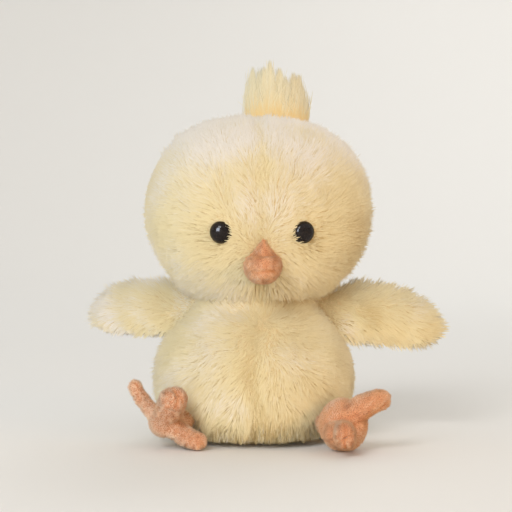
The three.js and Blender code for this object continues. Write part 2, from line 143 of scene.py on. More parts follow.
# Rings are (middle, half width, half depth, tilt about Y), extruded one from the other
def stackRings(name, rings, sides, closeStart=False, closeEnd=False):
    clearSelection()
    bpy.ops.mesh.primitive_circle_add(vertices=sides, radius=1, location=(0, 0, 0))
    piece = bpy.context.object
    piece.name = piece.data.name = name
    bpy.ops.object.mode_set(mode="EDIT")
    bpy.ops.mesh.select_mode(type="VERT")
    bpy.ops.mesh.select_all(action="SELECT")
    middle, wide, deep, tilt = Vector((0, 0, 0)), 1, 1, 0
    for i, ring in enumerate(rings):
        newMiddle, newWide, newDeep = Vector(ring[0]), ring[1], ring[2]
        newTilt = ring[3] if len(ring) > 3 else 0
        step = newMiddle - middle
        if i == 0:
            bpy.ops.transform.translate(value=step)
        else:
            bpy.ops.mesh.extrude_region_move(TRANSFORM_OT_translate={"value": step})
        if tilt:
            turnSelected(-tilt, newMiddle)
        size = (newWide / wide, newDeep / deep, 1)
        bpy.ops.transform.resize(value=size, center_override=newMiddle)
        if newTilt:
            turnSelected(newTilt, newMiddle)
        middle, wide, deep, tilt = newMiddle, newWide, newDeep, newTilt
    if closeEnd:
        closeRing()
    if closeStart:
        editPoints(piece, [i < sides for i in range(len(piece.data.vertices))])
        closeRing()
    bpy.ops.mesh.select_all(action="SELECT")
    bpy.ops.mesh.normals_make_consistent(inside=False)
    endEdit()
    bpy.ops.object.shade_smooth()
    return piece


def closeRing():
    bpy.ops.mesh.extrude_region_move()
    bpy.ops.mesh.merge(type="CENTER")


# About Y. With no window an edit mode turn runs backwards, so the angle is given the other way round
def turnSelected(angle, middle):
    bpy.ops.transform.rotate(value=-angle, orient_axis="Y", center_override=middle)


def copyOf(piece, name):
    workOn(piece)
    bpy.ops.object.duplicate()
    copy = bpy.context.object
    copy.name = copy.data.name = name
    return copy


def remove(piece):
    bpy.data.objects.remove(piece)


# Keeps what lies on the side that each normal points to, from the point on
def panelOf(whole, name, *normals, point=(0, 0, 0)):
    piece = copyOf(whole, name)
    startEdit(piece)
    for normal in normals:
        bpy.ops.mesh.select_all(action="SELECT")
        start = Vector(point) + Vector(normal) * (seam["gap"] / 2)
        bpy.ops.mesh.bisect(plane_co=start, plane_no=normal, clear_inner=True)
    endEdit()
    return piece


def applyModifier(piece, kind, **settings):
    workOn(piece)
    modifier = piece.modifiers.new(kind.lower(), kind)
    for key, value in settings.items():
        setattr(modifier, key, value)
    bpy.ops.object.modifier_apply(modifier=modifier.name)


def applyPlace(piece, matrix):
    workOn(piece)
    piece.matrix_world = matrix
    bpy.ops.object.transform_apply(location=True, rotation=True, scale=True)


seam = {
    "gap": 0.2 * mm,
    "halfLine": 0.2 * mm,  # what is this near to a seam's plane lies on the seam
    "crossing": 2.6 * mm,
    "overLean": 0.9,
}
# The ways that the panels of body and head face
facing = {"left": ((0, -1, 0), (1, 0, 0)), "right": ((0, -1, 0), (-1, 0, 0)), "back": ((0, 1, 0),)}


# Draws the cloth in along a line of stitches
def pullSeam(piece, onSeam, depth, reach):
    editPoints(piece, onSeam(coordinatesOf(piece)))
    bpy.ops.transform.shrink_fatten(
        value=-depth,
        use_proportional_edit=True,
        proportional_edit_falloff="SMOOTH",
        proportional_size=reach,
    )
    endEdit()


filling = {
    "scale": 10,  # cloth moves as it should at ten times the toy's size
    "steps": 20,
    "pressure": 4.0,
    "smaller": 0.5,  # times the most that a point may move
}


# Blows a sewn form out as its filling does, from a slightly smaller one. It is held along its stitches, and no
# point moves further than the form's swell
def fillOut(piece, onStitches, form):
    places, most = coordinatesOf(piece), form["swell"]
    held = onStitches(places)
    start = places - normalsOf(piece) * most * filling["smaller"] * ~held[:, None]
    bag = copyOf(piece, piece.name + "_bag")
    bag.data.vertices.foreach_set("co", (start * filling["scale"]).ravel())
    group = bag.vertex_groups.new(name="stitches")
    group.add([int(i) for i in np.flatnonzero(held)], 1.0, "REPLACE")
    cloth = bag.modifiers.new("cloth", "CLOTH")
    cloth.settings.vertex_group_mass = "stitches"
    cloth.settings.use_pressure = True
    cloth.settings.uniform_pressure_force = filling["pressure"]
    cloth.settings.shrink_min = -form["slack"]
    cloth.settings.effector_weights.gravity = 0
    for step in range(1, filling["steps"] + 1):
        scene.frame_set(step)
    workOn(bag)
    bpy.ops.object.modifier_apply(modifier="cloth")
    moved = coordinatesOf(bag) / filling["scale"] - start
    far = np.linalg.norm(moved, axis=1, keepdims=True)
    moved *= np.minimum(1, most / np.maximum(far, 1e-9))
    piece.data.vertices.foreach_set("co", (start + moved).ravel())
    piece.data.update()
    print(f"{piece.name} filled out by {1000 * far.mean():.2f} mm, at most {1000 * far.max():.2f}")
    remove(bag)
    scene.frame_set(1)


def coordinatesOf(piece, kind="co"):
    places = np.empty(len(piece.data.vertices) * 3)
    piece.data.vertices.foreach_get(kind, places)
    return places.reshape(-1, 3)


def normalsOf(piece):
    return coordinatesOf(piece, "normal")


# What the pile grows from: points, normals and triangles of a cloth before it has a thickness
def surfaceOf(piece):
    mesh = piece.data
    mesh.calc_loop_triangles()
    corners = np.empty(len(mesh.loop_triangles) * 3, np.int32)
    mesh.loop_triangles.foreach_get("vertices", corners)
    return {"points": coordinatesOf(piece), "normals": normalsOf(piece), "corners": corners.reshape(-1, 3)}


# A panel of cream or salmon plush, without its pile
def clothPiece(piece, body, colour, node, thick):
    applyModifier(piece, "SOLIDIFY", thickness=thick, offset=-1)
    finishPiece(piece, body, looks[f"{colour}Cloth"])
    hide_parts(node)


def finishPiece(piece, body, look):
    piece.data.materials.clear()
    piece.data.materials.append(look)
    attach(piece, body)
    return piece


# Numbers for the pile
def unit(vectors):
    return vectors / np.maximum(np.linalg.norm(vectors, axis=-1, keepdims=True), 1e-12)


def dots(a, b):
    return (a * b).sum(-1, keepdims=True)


def smooth(values, low, high):
    share = np.clip((values - low) / (high - low), 0, 1)
    return share * share * (3 - 2 * share)


def between(first, last, share):
    return first + (last - first) * share


# A rule is an amount and the stretch of values over which it comes in or goes out
def comesIn(values, rule):
    return rule[0] * smooth(values, *rule[1:])


def goesOut(values, rule):
    return rule[0] * (1 - smooth(values, *rule[1:]))


# A way along the surface, as long as 1 except where it nearly points along the normal
def alongSurface(ways, normals):
    flat = unit(ways)
    flat = flat - dots(flat, normals) * normals
    return flat / np.maximum(np.linalg.norm(flat, axis=1, keepdims=True), 0.35)


# Strands beside a seam lean over it
def overSeam(flow, across, normals):
    near = 1 - smooth(abs(across), 0, seam["crossing"])
    turned = flow.copy()
    turned[:, 0] -= np.sign(across) * near * seam["overLean"]
    return alongSurface(turned, normals)


# In front the strands lean the given way, and behind they hang straight down
def downBehind(away, places, turnOver, normals):
    behind = smooth(places[:, 1], *turnOver)[:, None]
    flow = alongSurface(away * (1 - behind) + np.array([0, 0, -1.0]) * behind, normals)
    return np.where(places[:, 1:2] < 0, overSeam(flow, places[:, 0], normals), flow)


# A mild wandering over the surface
def waves(points, amount, size, seed):
    draw = np.random.default_rng(seed)
    total = np.zeros(len(points))
    for _ in range(7):
        way = unit(draw.normal(size=3)) * 2 * math.pi / (size * draw.uniform(0.7, 1.5))
        total += np.sin(points @ way + draw.uniform(0, 2 * math.pi))
    return amount * total / 2.2


# Twice the area of each triangle, and the places of its corners
def areasOf(skin):
    corners = skin["points"][skin["corners"]]
    sides = np.cross(corners[:, 1] - corners[:, 0], corners[:, 2] - corners[:, 0])
    return np.linalg.norm(sides, axis=1), corners


def rootsOn(skin, count, draw):
    area, corners = areasOf(skin)
    area = np.cumsum(area)
    at = (np.arange(count) + draw.random(count)) / count * area[-1]
    face = np.searchsorted(area, at).clip(0, len(area) - 1)
    a, b = draw.random((2, count))
    over = a + b > 1
    a, b = np.where(over, 1 - a, a), np.where(over, 1 - b, b)
    parts = np.stack([1 - a - b, a, b], 1)[:, :, None]
    roots = (corners[face] * parts).sum(1)
    normals = unit((skin["normals"][skin["corners"][face]] * parts).sum(1))
    return roots, normals


# Draws the tips of neighbouring strands together
def gather(roots, tips, every, pull, draw):
    leaders = draw.permutation(len(roots))[: max(len(roots) // every, 1)]
    tree = kdtree.KDTree(len(leaders))
    for i, leader in enumerate(leaders):
        tree.insert(roots[leader], i)
    tree.balance()
    mine = np.array([tree.find(root)[1] for root in roots])
    strength = draw.uniform(*pull, len(leaders))[mine][:, None]
    return tips + (tips[leaders][mine] - tips) * strength


# One strand, modelled once: along Z from 0 to 1, and thickest at its middle ring, or a plain cone with no rings
def strandShape(rings):
    clearSelection()
    if rings:
        bpy.ops.mesh.primitive_uv_sphere_add(segments=3, ring_count=rings + 1, radius=1)
    else:
        bpy.ops.mesh.primitive_cone_add(vertices=3, radius1=1, depth=2)
    piece = bpy.context.object
    startEdit(piece)
    bpy.ops.transform.resize(value=(1, 1, 0.5), center_override=(0, 0, 0))
    bpy.ops.transform.translate(value=(0, 0, 0.5))
    bpy.ops.mesh.quads_convert_to_tris()
    endEdit()
    shape = surfaceOf(piece)
    remove(piece)
    return shape


# Copies the strand along curves from root past bend to tip, into one mesh
def plantStrands(name, shape, roots, bends, tips, width, tone, soften, draw):
    count, size = len(roots), len(shape["points"])
    x, y, along = shape["points"].T
    spin = draw.uniform(0, 2 * math.pi, count)[:, None]
    across = x * np.cos(spin) - y * np.sin(spin)
    beside = x * np.sin(spin) + y * np.cos(spin)
    way = unit(tips - roots)
    first = unit(np.cross(way, soften + 0.01))
    second = np.cross(way, first)
    v = along[None, :, None]
    line = (1 - v) ** 2 * roots[:, None] + 2 * v * (1 - v) * bends[:, None] + v**2 * tips[:, None]
    offset = across[:, :, None] * first[:, None] + beside[:, :, None] * second[:, None]
    points = (line + offset * np.asarray(width).reshape(-1, 1, 1)).reshape(-1, 3)
    corners = (shape["corners"][None] + np.arange(count)[:, None, None] * size).reshape(-1, 3)
    mesh = bpy.data.meshes.new(name)
    mesh.vertices.add(len(points))
    mesh.vertices.foreach_set("co", points.ravel())
    mesh.loops.add(corners.size)
    mesh.loops.foreach_set("vertex_index", corners.ravel().astype(np.int32))
    mesh.polygons.add(len(corners))
    mesh.polygons.foreach_set("loop_start", np.arange(0, corners.size, 3, dtype=np.int32))
    mesh.update(calc_edges=True)
    mesh.shade_smooth()
    # Tone runs across the map and root to tip up it, so that the colour depends on the map alone
    margin = pileMap["margin"]
    u = np.clip(tone[:, None], 0, 1) * (1 - 4 * margin) + 2 * margin + margin * (x + 0.3 * y)
    mapped = np.stack([u, np.broadcast_to(0.02 + 0.96 * along, u.shape)], -1).reshape(-1, 2)
    layer = mesh.uv_layers.new(name="OFBake")
    layer.uv.foreach_set("vector", mapped[corners.ravel()].ravel())
    # Shading leans towards the cloth's own and upwards, as on soft fibres that light passes through
    shade = unit(unit(offset) * (1 - pileMap["soften"]) + soften[:, None] * pileMap["soften"])
    mesh.normals_split_custom_set_from_vertices(shade.reshape(-1, 3))
    piece = bpy.data.objects.new(name, mesh)
    scene.collection.objects.link(piece)
    piece.visible_shadow = False  # light passes through the pile, and the cloth under it casts the shadow
    return piece


pileMap = {"margin": 0.004, "soften": 0.88}
strand, lockStrand, stub = strandShape(1), strandShape(4), strandShape(0)


# A way that leans by an angle from the cloth's normal towards the flow
def leaning(normals, flow, degrees, more):
    angle = (math.radians(degrees) + more).clip(0.02, 1.52)[:, None]
    return np.cos(angle) * normals + np.sin(angle) * flow


# The rules of a pile take points of the cloth, and those of flow and length its normals too
def growPile(name, skin, pile, rules, body, seed, share=1.0):
    draw = np.random.default_rng(seed)
    count = int(areasOf(skin)[0].sum() / 2 * pile["density"] * share)
    roots, normals = rootsOn(skin, count, draw)
    length = rules["length"](roots, normals) * pile["length"]
    kept = length > pile["shortest"] * pile["length"]
    roots, normals, length = roots[kept], normals[kept], length[kept]
    count = len(roots)
    flow = rules["flow"](roots, normals)
    side = np.cross(normals, flow)
    sway = waves(roots, pile["sway"], pile["waveSize"], seed + 1) + draw.normal(0, pile["stray"], count)
    flow = flow * np.cos(sway)[:, None] + side * np.sin(sway)[:, None]
    ruffle = waves(roots, 1, pile["waveSize"] * pile["ruffleSize"], seed + 2)
    more = pile["ruffle"] * ruffle + draw.normal(0, pile["leanStray"], count)
    if "lean" in rules:
        more += rules["lean"](roots)
    length = length * draw.uniform(*pile["lengths"], count) * (1 + pile["ruffleLonger"] * ruffle)
    guard = draw.random(count) < pile["guardShare"]  # thin hairs that stand up out of the rest
    more[guard] -= pile["guardRise"]
    bends = roots + leaning(normals, flow, pile["rootLean"], more) * (length * 0.5)[:, None]
    tips = bends + leaning(normals, flow, pile["tipLean"], more) * (length * 0.5)[:, None]
    pulled = gather(roots, tips, pile["clump"], pile["pull"], draw)
    tips += (pulled - tips) * (rules["locks"](roots)[:, None] if "locks" in rules else 1)
    tips = tips + draw.normal(0, pile["fuzz"], tips.shape)
    tips[:, 2] = np.maximum(tips[:, 2], pile["floorClear"] + draw.uniform(0, 1, count) * pile["floorSpread"])
    bends[:, 2] = np.maximum(bends[:, 2], pile["floorClear"])
    tone = rules["tone"](roots) + draw.normal(0, pile["toneStray"], count)
    roots = roots - normals * pile["rootDepth"]
    width = pile["width"] * draw.uniform(*pile["widths"], count) * np.where(guard, pile["guardWidth"], 1)
    through = unit(normals + np.array([0, 0, pile["upwards"]]))
    piece = plantStrands(name, pile["shape"], roots, bends, tips, width, tone, through, draw)
    print(name, count, "strands")
    return finishPiece(piece, body, looks[f"{pile['colour']}Pile"])


allPile = {
    "shortest": 0.12,
    "ruffleSize": 0.6,
    "ruffleLonger": 0.08,
    "widths": (0.75, 1.25),
    "guardShare": 0.1,
    "guardWidth": 0.6,
    "floorClear": 0.3 * mm,
    "floorSpread": 0.8 * mm,
    "upwards": 0.36,
}
creamPile = {
    **allPile,
    "colour": "cream",
    "shape": strand,
    "density": 1.75e6,  # strands to the square metre
    "length": 8.6 * mm,
    "lengths": (0.75, 1.15),
    "width": 0.215 * mm,  # half of it
    "rootLean": 32,  # degrees from upright
    "tipLean": 66,
    "leanStray": 0.13,
    "ruffle": 0.1,
    "sway": 0.35,
    "stray": 0.13,
    "waveSize": 14 * mm,
    "clump": 13,
    "pull": (0.05, 0.34),
    "fuzz": 0.25 * mm,
    "rootDepth": 0.6 * mm,
    "guardRise": 0.5,  # radians
    "toneStray": 0.07,
}
salmonPile = {
    **allPile,
    "colour": "salmon",
    "shape": stub,
    "density": 9e6,
    "length": 2.1 * mm,
    "lengths": (0.7, 1.2),
    "width": 0.165 * mm,
    "rootLean": 20,
    "tipLean": 62,
    "leanStray": 0.3,
    "ruffle": 0.14,
    "sway": 0.8,
    "stray": 0.4,
    "waveSize": 4 * mm,
    "clump": 5,
    "pull": (0.05, 0.4),
    "fuzz": 0.12 * mm,
    "rootDepth": 0.2 * mm,
    "guardRise": 0.4,
    "toneStray": 0.12,
}


# Materials
def newMaterial(name):
    material = bpy.data.materials.new(name)
    material.use_nodes = True
    nodes = material.node_tree.nodes
    shader = nodes["Principled BSDF"]
    return material, nodes, material.node_tree.links, shader


def newGroup(name, inputs, outputs):
    group = bpy.data.node_groups.new(name, "ShaderNodeTree")
    for label, kind, value in inputs:
        socket = group.interface.new_socket(name=label, in_out="INPUT", socket_type=kind)
        socket.default_value = value
    for label, kind in outputs:
        group.interface.new_socket(name=label, in_out="OUTPUT", socket_type=kind)
    start = group.nodes.new("NodeGroupInput")
    end = group.nodes.new("NodeGroupOutput")
    return group, group.nodes, group.links, start, end


def setInputs(node, values):
    for label, value in values.items():
        node.inputs[label].default_value = value
    return node


def placeGroup(material, group, values):
    node = material.node_tree.nodes.new("ShaderNodeGroup")
    node.node_tree = group
    return setInputs(node, values)


def mathOf(nodes, links, operation, first, second, clamp=False):
    node = nodes.new("ShaderNodeMath")
    node.operation = operation
    node.use_clamp = clamp
    links.new(first, node.inputs[0])
    links.new(second, node.inputs[1])
    return node.outputs[0]


def mixColour(nodes, links, share, first, second):
    node = nodes.new("ShaderNodeMix")
    node.data_type = "RGBA"
    links.new(share, node.inputs[0])
    links.new(first, node.inputs[6])
    links.new(second, node.inputs[7])
    return node.outputs[2]


def rangeOf(nodes, links, value, low, high, to=(0, 1)):
    node = nodes.new("ShaderNodeMapRange")
    node.interpolation_type = "SMOOTHSTEP"
    setInputs(node, {"From Min": low, "From Max": high, "To Min": to[0], "To Max": to[1]})
    links.new(value, node.inputs["Value"])
    return node.outputs["Result"]


# Colour of a strand: deep to pale across the map, darker at the root, a painted shade deep in the pile
def makePileColour():
    colour = "NodeSocketColor"
    inputs = [(label, colour, (1, 1, 1, 1)) for label in ("Root", "Deep", "Middle", "Pale")]
    inputs += [("Root reach", "NodeSocketFloat", 0.5)]
    group, nodes, links, start, end = newGroup("pileColour", inputs, [("Color", colour)])
    mapNode = nodes.new("ShaderNodeUVMap")
    mapNode.uv_map = "OFBake"
    split = nodes.new("ShaderNodeSeparateXYZ")
    links.new(mapNode.outputs["UV"], split.inputs[0])
    across, up = split.outputs[:2]
    given = start.outputs
    lower = mixColour(nodes, links, rangeOf(nodes, links, across, 0.0, 0.5), given["Deep"], given["Middle"])
    tone = mixColour(nodes, links, rangeOf(nodes, links, across, 0.5, 1.0), lower, given["Pale"])
    rise = mathOf(nodes, links, "DIVIDE", up, given["Root reach"], clamp=True)
    links.new(mixColour(nodes, links, rise, given["Root"], tone), end.inputs["Color"])
    return group


# Knitted backing: rows of loops that show between the roots of the pile, with painted shade in the gaps between the
# loops, shown in uneven patches
def makeKnit():
    inputs = [
        ("Yarn", "NodeSocketColor", (1, 1, 1, 1)),
        ("Gap", "NodeSocketColor", (0, 0, 0, 1)),
        ("Loops", "NodeSocketFloat", 900.0),
    ]
    outputs = [("Color", "NodeSocketColor"), ("Height", "NodeSocketFloat")]
    group, nodes, links, start, end = newGroup("knitBacking", inputs, outputs)
    place = nodes.new("ShaderNodeTexCoord")
    cells = nodes.new("ShaderNodeTexVoronoi")
    cells.feature = "F1"
    links.new(place.outputs["Object"], cells.inputs["Vector"])
    links.new(start.outputs["Loops"], cells.inputs["Scale"])
    noise = nodes.new("ShaderNodeTexNoise")
    setInputs(noise, {"Scale": 160, "Detail": 4})
    links.new(place.outputs["Object"], noise.inputs["Vector"])
    cover = rangeOf(nodes, links, cells.outputs["Distance"], 0.25, 0.75, (1, 0))
    patchyCover = rangeOf(nodes, links, noise.outputs["Fac"], 0.2, 0.8, (0.6, 1))
    blend = mathOf(nodes, links, "MULTIPLY", cover, patchyCover)
    links.new(mixColour(nodes, links, blend, start.outputs["Gap"], start.outputs["Yarn"]), end.inputs["Color"])
    links.new(blend, end.inputs["Height"])
    return group


# Tangled fibre, grain of moulded plastic and speckle of thread all come from stretched noise
def makeFibre():
    inputs = [
        ("Light", "NodeSocketColor", (1, 1, 1, 1)),
        ("Dark", "NodeSocketColor", (0, 0, 0, 1)),
        ("Scale", "NodeSocketFloat", 300.0),
        ("Twist", "NodeSocketFloat", 1.5),
    ]
    outputs = [("Color", "NodeSocketColor"), ("Height", "NodeSocketFloat")]
    group, nodes, links, start, end = newGroup("tangledFibre", inputs, outputs)
    place = nodes.new("ShaderNodeTexCoord")
    noise = nodes.new("ShaderNodeTexNoise")
    setInputs(noise, {"Detail": 6, "Roughness": 0.7})
    links.new(place.outputs["Object"], noise.inputs["Vector"])
    links.new(start.outputs["Scale"], noise.inputs["Scale"])
    links.new(start.outputs["Twist"], noise.inputs["Distortion"])
    tone = rangeOf(nodes, links, noise.outputs["Fac"], 0.3, 0.7)
    links.new(mixColour(nodes, links, tone, start.outputs["Dark"], start.outputs["Light"]), end.inputs["Color"])
    links.new(tone, end.inputs["Height"])
    return group


pileColour, knitBacking, tangledFibre = makePileColour(), makeKnit(), makeFibre()


# Colours of root, deep, middle and pale strands, how far the root's reaches, then the sheen. The darker root colours
# are painted shade deep in the pile
def pileMaterial(name, root, deep, middle, pale, rootReach, sheen, tint):
    material, _, links, shader = newMaterial(name)
    colours = {"Root": root, "Deep": deep, "Middle": middle, "Pale": pale}
    values = {label: (*colour, 1) for label, colour in colours.items()}
    group = placeGroup(material, pileColour, {**values, "Root reach": rootReach})
    links.new(group.outputs["Color"], shader.inputs["Base Color"])
    setInputs(shader, {
        "Roughness": 0.9,
        "Specular IOR Level": 0.06,
        "Sheen Weight": sheen,
        "Sheen Roughness": 0.5,
        "Sheen Tint": (*tint, 1),
    })
    return material


# Yarn and gap of a knit, or light and dark of a fibre, then its scale, the bump's height and the roughness
def bumpedMaterial(name, group, light, dark, scale, bump, roughness, **more):
    labels = ("Yarn", "Gap", "Loops") if group == knitBacking else ("Light", "Dark", "Scale")
    material, nodes, links, shader = newMaterial(name)
    node = placeGroup(material, group, {**dict(zip(labels, ((*light, 1), (*dark, 1), scale))), **more})
    links.new(node.outputs["Color"], shader.inputs["Base Color"])
    relief = setInputs(nodes.new("ShaderNodeBump"), {"Distance": bump})
    links.new(node.outputs["Height"], relief.inputs["Height"])
    links.new(relief.outputs["Normal"], shader.inputs["Normal"])
    setInputs(shader, {"Roughness": roughness})
    return material


looks = {
    "creamPile": pileMaterial(
        "cream pile", (0.76, 0.65, 0.37), (0.64, 0.5, 0.25), (0.83, 0.73, 0.46), (0.87, 0.83, 0.76),
        0.55, 0.35, (1, 0.92, 0.84),
    ),
    # The crest's orange root is partly its own colour and partly a painted glow of light passing through the locks
    "tuftPile": pileMaterial(
        "crest pile", (0.9, 0.64, 0.22), (0.76, 0.64, 0.38), (0.83, 0.76, 0.54), (0.86, 0.83, 0.7),
        0.62, 0.15, (1, 0.95, 0.84),
    ),
    "salmonPile": pileMaterial(
        "salmon pile", (0.68, 0.29, 0.13), (0.8, 0.39, 0.18), (0.95, 0.56, 0.32), (0.98, 0.76, 0.57),
        0.7, 0.25, (1, 0.62, 0.42),
    ),
    "creamCloth": bumpedMaterial(
        "cream backing", knitBacking, (0.82, 0.7, 0.44), (0.72, 0.58, 0.33), 1100, 0.0002, 0.95,
    ),
    "salmonCloth": bumpedMaterial(
        "salmon backing", knitBacking, (0.74, 0.34, 0.17), (0.52, 0.21, 0.1), 1500, 0.0002, 0.95,
    ),
    "fibre": bumpedMaterial(
        "loose fibre", tangledFibre, (0.9, 0.88, 0.84), (0.68, 0.65, 0.6), 320, 0.0008, 1.0,
    ),
    "pelletBag": bumpedMaterial(
        "pellet bag", knitBacking, (0.72, 0.68, 0.58), (0.45, 0.42, 0.34), 450, 0.0006, 0.9,
    ),
    "washer": bumpedMaterial(
        "washer plastic", tangledFibre, (0.83, 0.82, 0.78), (0.78, 0.77, 0.73), 900, 0.00002, 0.5,
    ),
    "thread": bumpedMaterial(
        "sewing thread", tangledFibre, (0.8, 0.66, 0.36), (0.6, 0.46, 0.2), 2200, 0.0001, 0.85, Twist=4,
    ),
}


def eyeMaterial():
    material, nodes, links, shader = newMaterial("eye plastic")
    grain = placeGroup(
        material, tangledFibre,
        {"Light": (0.014, 0.009, 0.008, 1), "Dark": (0.008, 0.005, 0.004, 1), "Scale": 700},
    )
    links.new(grain.outputs["Color"], shader.inputs["Base Color"])
    dust = rangeOf(nodes, links, grain.outputs["Height"], 0, 1, (0.04, 0.1))
    links.new(dust, shader.inputs["Roughness"])
    shader.inputs["Specular IOR Level"].default_value = 0.26
    return material


looks["eye"] = eyeMaterial()
print("materials made")


# Stage: a pale floor that turns up into a wall all round
def makeStage():
    turn = stage["wallRadius"] - stage["floorRadius"]
    rings = [((0, 0, 0), radius, radius) for radius in (*stage["innerRadii"], stage["floorRadius"])]
    for i in range(1, stage["wallSteps"] + 1):
        angle = math.pi / 2 * i / stage["wallSteps"]
        radius = stage["floorRadius"] + turn * math.sin(angle)
        rings.append(((0, 0, stage["wallHeight"] * (1 - math.cos(angle))), radius, radius))
    floor = stackRings("floor", rings, stage["sides"], closeStart=True)
    startEdit(floor)
    bpy.ops.mesh.normals_make_consistent(inside=True)
    endEdit()
    material, _, _, shader = newMaterial("floor")
    setInputs(shader, {"Base Color": (0.82, 0.81, 0.79, 1), "Roughness": 0.8})
    floor.data.materials.append(material)


# Light from all round, which the camera and reflections see as a pale room instead
def makeWorld():
    world = bpy.data.worlds.new("studio")
    scene.world = world
    world.use_nodes = True
    nodes, links = world.node_tree.nodes, world.node_tree.links
    light = setInputs(nodes["Background"], {"Color": (1, 0.985, 0.93, 1), "Strength": stage["worldLight"]})
    shown = setInputs(nodes.new("ShaderNodeBackground"), {"Color": (0.9, 0.89, 0.87, 1)})
    rays = nodes.new("ShaderNodeLightPath").outputs
    seen = mathOf(nodes, links, "MAXIMUM", rays["Is Camera Ray"], rays["Is Glossy Ray"])
    seen = mathOf(nodes, links, "MAXIMUM", seen, rays["Is Transmission Ray"])
    mix = nodes.new("ShaderNodeMixShader")
    for i, output in enumerate((seen, light.outputs[0], shown.outputs[0])):
        links.new(output, mix.inputs[i])
    links.new(mix.outputs[0], nodes["World Output"].inputs["Surface"])


def makeLamps():
    for name, (place, size, power, colour) in lamps.items():
        bpy.ops.object.light_add(type="AREA", location=place)
        lamp = bpy.context.object
        lamp.name = name
        lamp.data.size = size
        lamp.data.energy = power
        lamp.data.color = colour
        lamp.visible_glossy = name in ("key", "glint")
        lamp.visible_diffuse = name != "glint"  # which shows in the eyes alone
        lamp.visible_camera = False
        aimAt(lamp, (0, 0, stage["aimHeight"]))


makeCamera()
makeStage()
makeWorld()
makeLamps()
print("stage made")


# Body: a pear of cloth with a flat base
body = {
    "bellyRadius": 50.4 * mm,
    "bellyHeight": 33 * mm,
    "baseRadius": 26 * mm,
    "neckRadius": 29 * mm,
    "neckHeight": 78 * mm,
    "shoulderRise": 22 * mm,
    "shoulderDrop": 13 * mm,
    "shoulderFlare": 2.5 * mm,
    "depthRatio": 0.96,
    "sides": 96,
    "clothThick": 1.6 * mm,
    "swell": 1.1 * mm,
    "slack": 0.03,
    "seamPull": (0.9 * mm, 5 * mm),  # depth and reach
    "basePanel": {"height": 0.35 * mm, "inset": 0.3 * mm, "rings": (1, 0.8, 0.5, 0.2)},
}


def bodyLine(steps):
    line = []
    for i in range(steps + 1):
        angle = -math.pi / 2 + math.pi / 2 * i / steps
        line.append((
            between(body["baseRadius"], body["bellyRadius"], math.cos(angle)),
            body["bellyHeight"] * (1 + math.sin(angle)),
        ))
    r0, z0 = body["bellyRadius"], body["bellyHeight"]
    knots = np.array([
        (r0, z0),
        (r0, z0 + body["shoulderRise"]),
        (body["neckRadius"] + body["shoulderFlare"], body["neckHeight"] - body["shoulderDrop"]),
        (body["neckRadius"], body["neckHeight"]),
    ])
    for i in range(1, steps + 1):
        t = i / steps
        weights = np.array([(1 - t) ** 3, 3 * t * (1 - t) ** 2, 3 * t * t * (1 - t), t**3])
        line.append(tuple(weights @ knots))
    return line


def bodyRadiusAt(height):
    radii, heights = np.array(bodyLine(40)).T
    return np.interp(height, heights, radii)


# Points on a plane's line of stitches, and those of the seam down the front
def onLine(values):
    return abs(values) < seam["halfLine"]


def onFrontSeam(points):
    return onLine(points[:, 0]) & (points[:, 1] < 0)


def bodyStitches(points):
    rims = (points[:, 2] < 0.3 * mm) | (points[:, 2] > body["neckHeight"] - 0.5 * mm)
    return rims | onLine(points[:, 1]) | onFrontSeam(points)


# Cuts body or head into its panels, each with a name and the CAD node that it replaces
def cutPanels(whole, bodyName, form, panels, place):
    skins = {}
    for side, (name, node) in panels.items():
        piece = panelOf(whole, name, *facing[side])
        applyPlace(piece, place)
        skins[side] = surfaceOf(piece)
        clothPiece(piece, bodyName, "cream", node, form["clothThick"])
    remove(whole)
    return skins


def makeBody():
    rings = [((0, 0, z), r, r * body["depthRatio"]) for r, z in bodyLine(16)]
    wrap = stackRings("bodyWrap", rings, body["sides"])
    pullSeam(wrap, onFrontSeam, *body["seamPull"])
    fillOut(wrap, bodyStitches, body)
    panels = {side: (f"belly_cloth_{side}", f"body_front_{side}") for side in ("left", "right")}
    skins = cutPanels(wrap, "body", body, {**panels, "back": ("back_cloth", "body_back")}, Matrix())
    panel = body["basePanel"]
    reach = body["baseRadius"] - panel["inset"]
    middle = (0, 0, panel["height"])
    rings = [(middle, reach * share, reach * share * body["depthRatio"]) for share in panel["rings"]]
    piece = stackRings("base_cloth", rings, body["sides"], closeEnd=True)
    if piece.data.polygons[0].normal.z > 0:
        startEdit(piece)
        bpy.ops.mesh.flip_normals()
        endEdit()
    clothPiece(piece, "body", "cream", "body_base", body["clothThick"])
    return skins


# How the pile lies on the body
bodyNap = {
    "start": (4 * mm, -22 * mm, 56 * mm),  # the strands lean away from here
    "turnOver": (-10 * mm, 25 * mm),
    "wave": (2.5 * mm, 9 * mm),  # of the seam's shade, aside and up
    "tone": 0.6,
    "toneWaves": (0.1, 30 * mm, 11),  # amount, size and seed
    # painted shade in the wavy valley of the front seam
    "valleyShade": (0.24, 0, 7 * mm),
    # painted shade, darker towards the base
    "lowShade": (0.5, 5 * mm, 28 * mm),
    # painted shade on the +x side, away from the key lamp
    "rightShade": (0.14, 12 * mm, 46 * mm),
    "lowLonger": (0.7, 4 * mm, 13 * mm),
    "neckShorter": (0.45, 64 * mm, 76 * mm),
    "flankShorter": (0.4, 25 * mm, 45 * mm),
    "fringeLean": (0.32, 3 * mm, 20 * mm),
    "locks": 0.6,
    "middleLocks": (0.35, 0, 20 * mm),
    "lowLocks": (0.5, 5 * mm, 25 * mm),
}


def bodyFlow(points, normals):
    return downBehind(unit(points - np.array(bodyNap["start"])), points, bodyNap["turnOver"], normals)


def bodyLength(points, normals):
    low = 0.3 + comesIn(points[:, 2], bodyNap["lowLonger"])
    high = 1 - comesIn(points[:, 2], bodyNap["neckShorter"])
    narrow = 1 - comesIn(points[:, 0], bodyNap["flankShorter"])
    return low * high * narrow * nearLimbs(points)
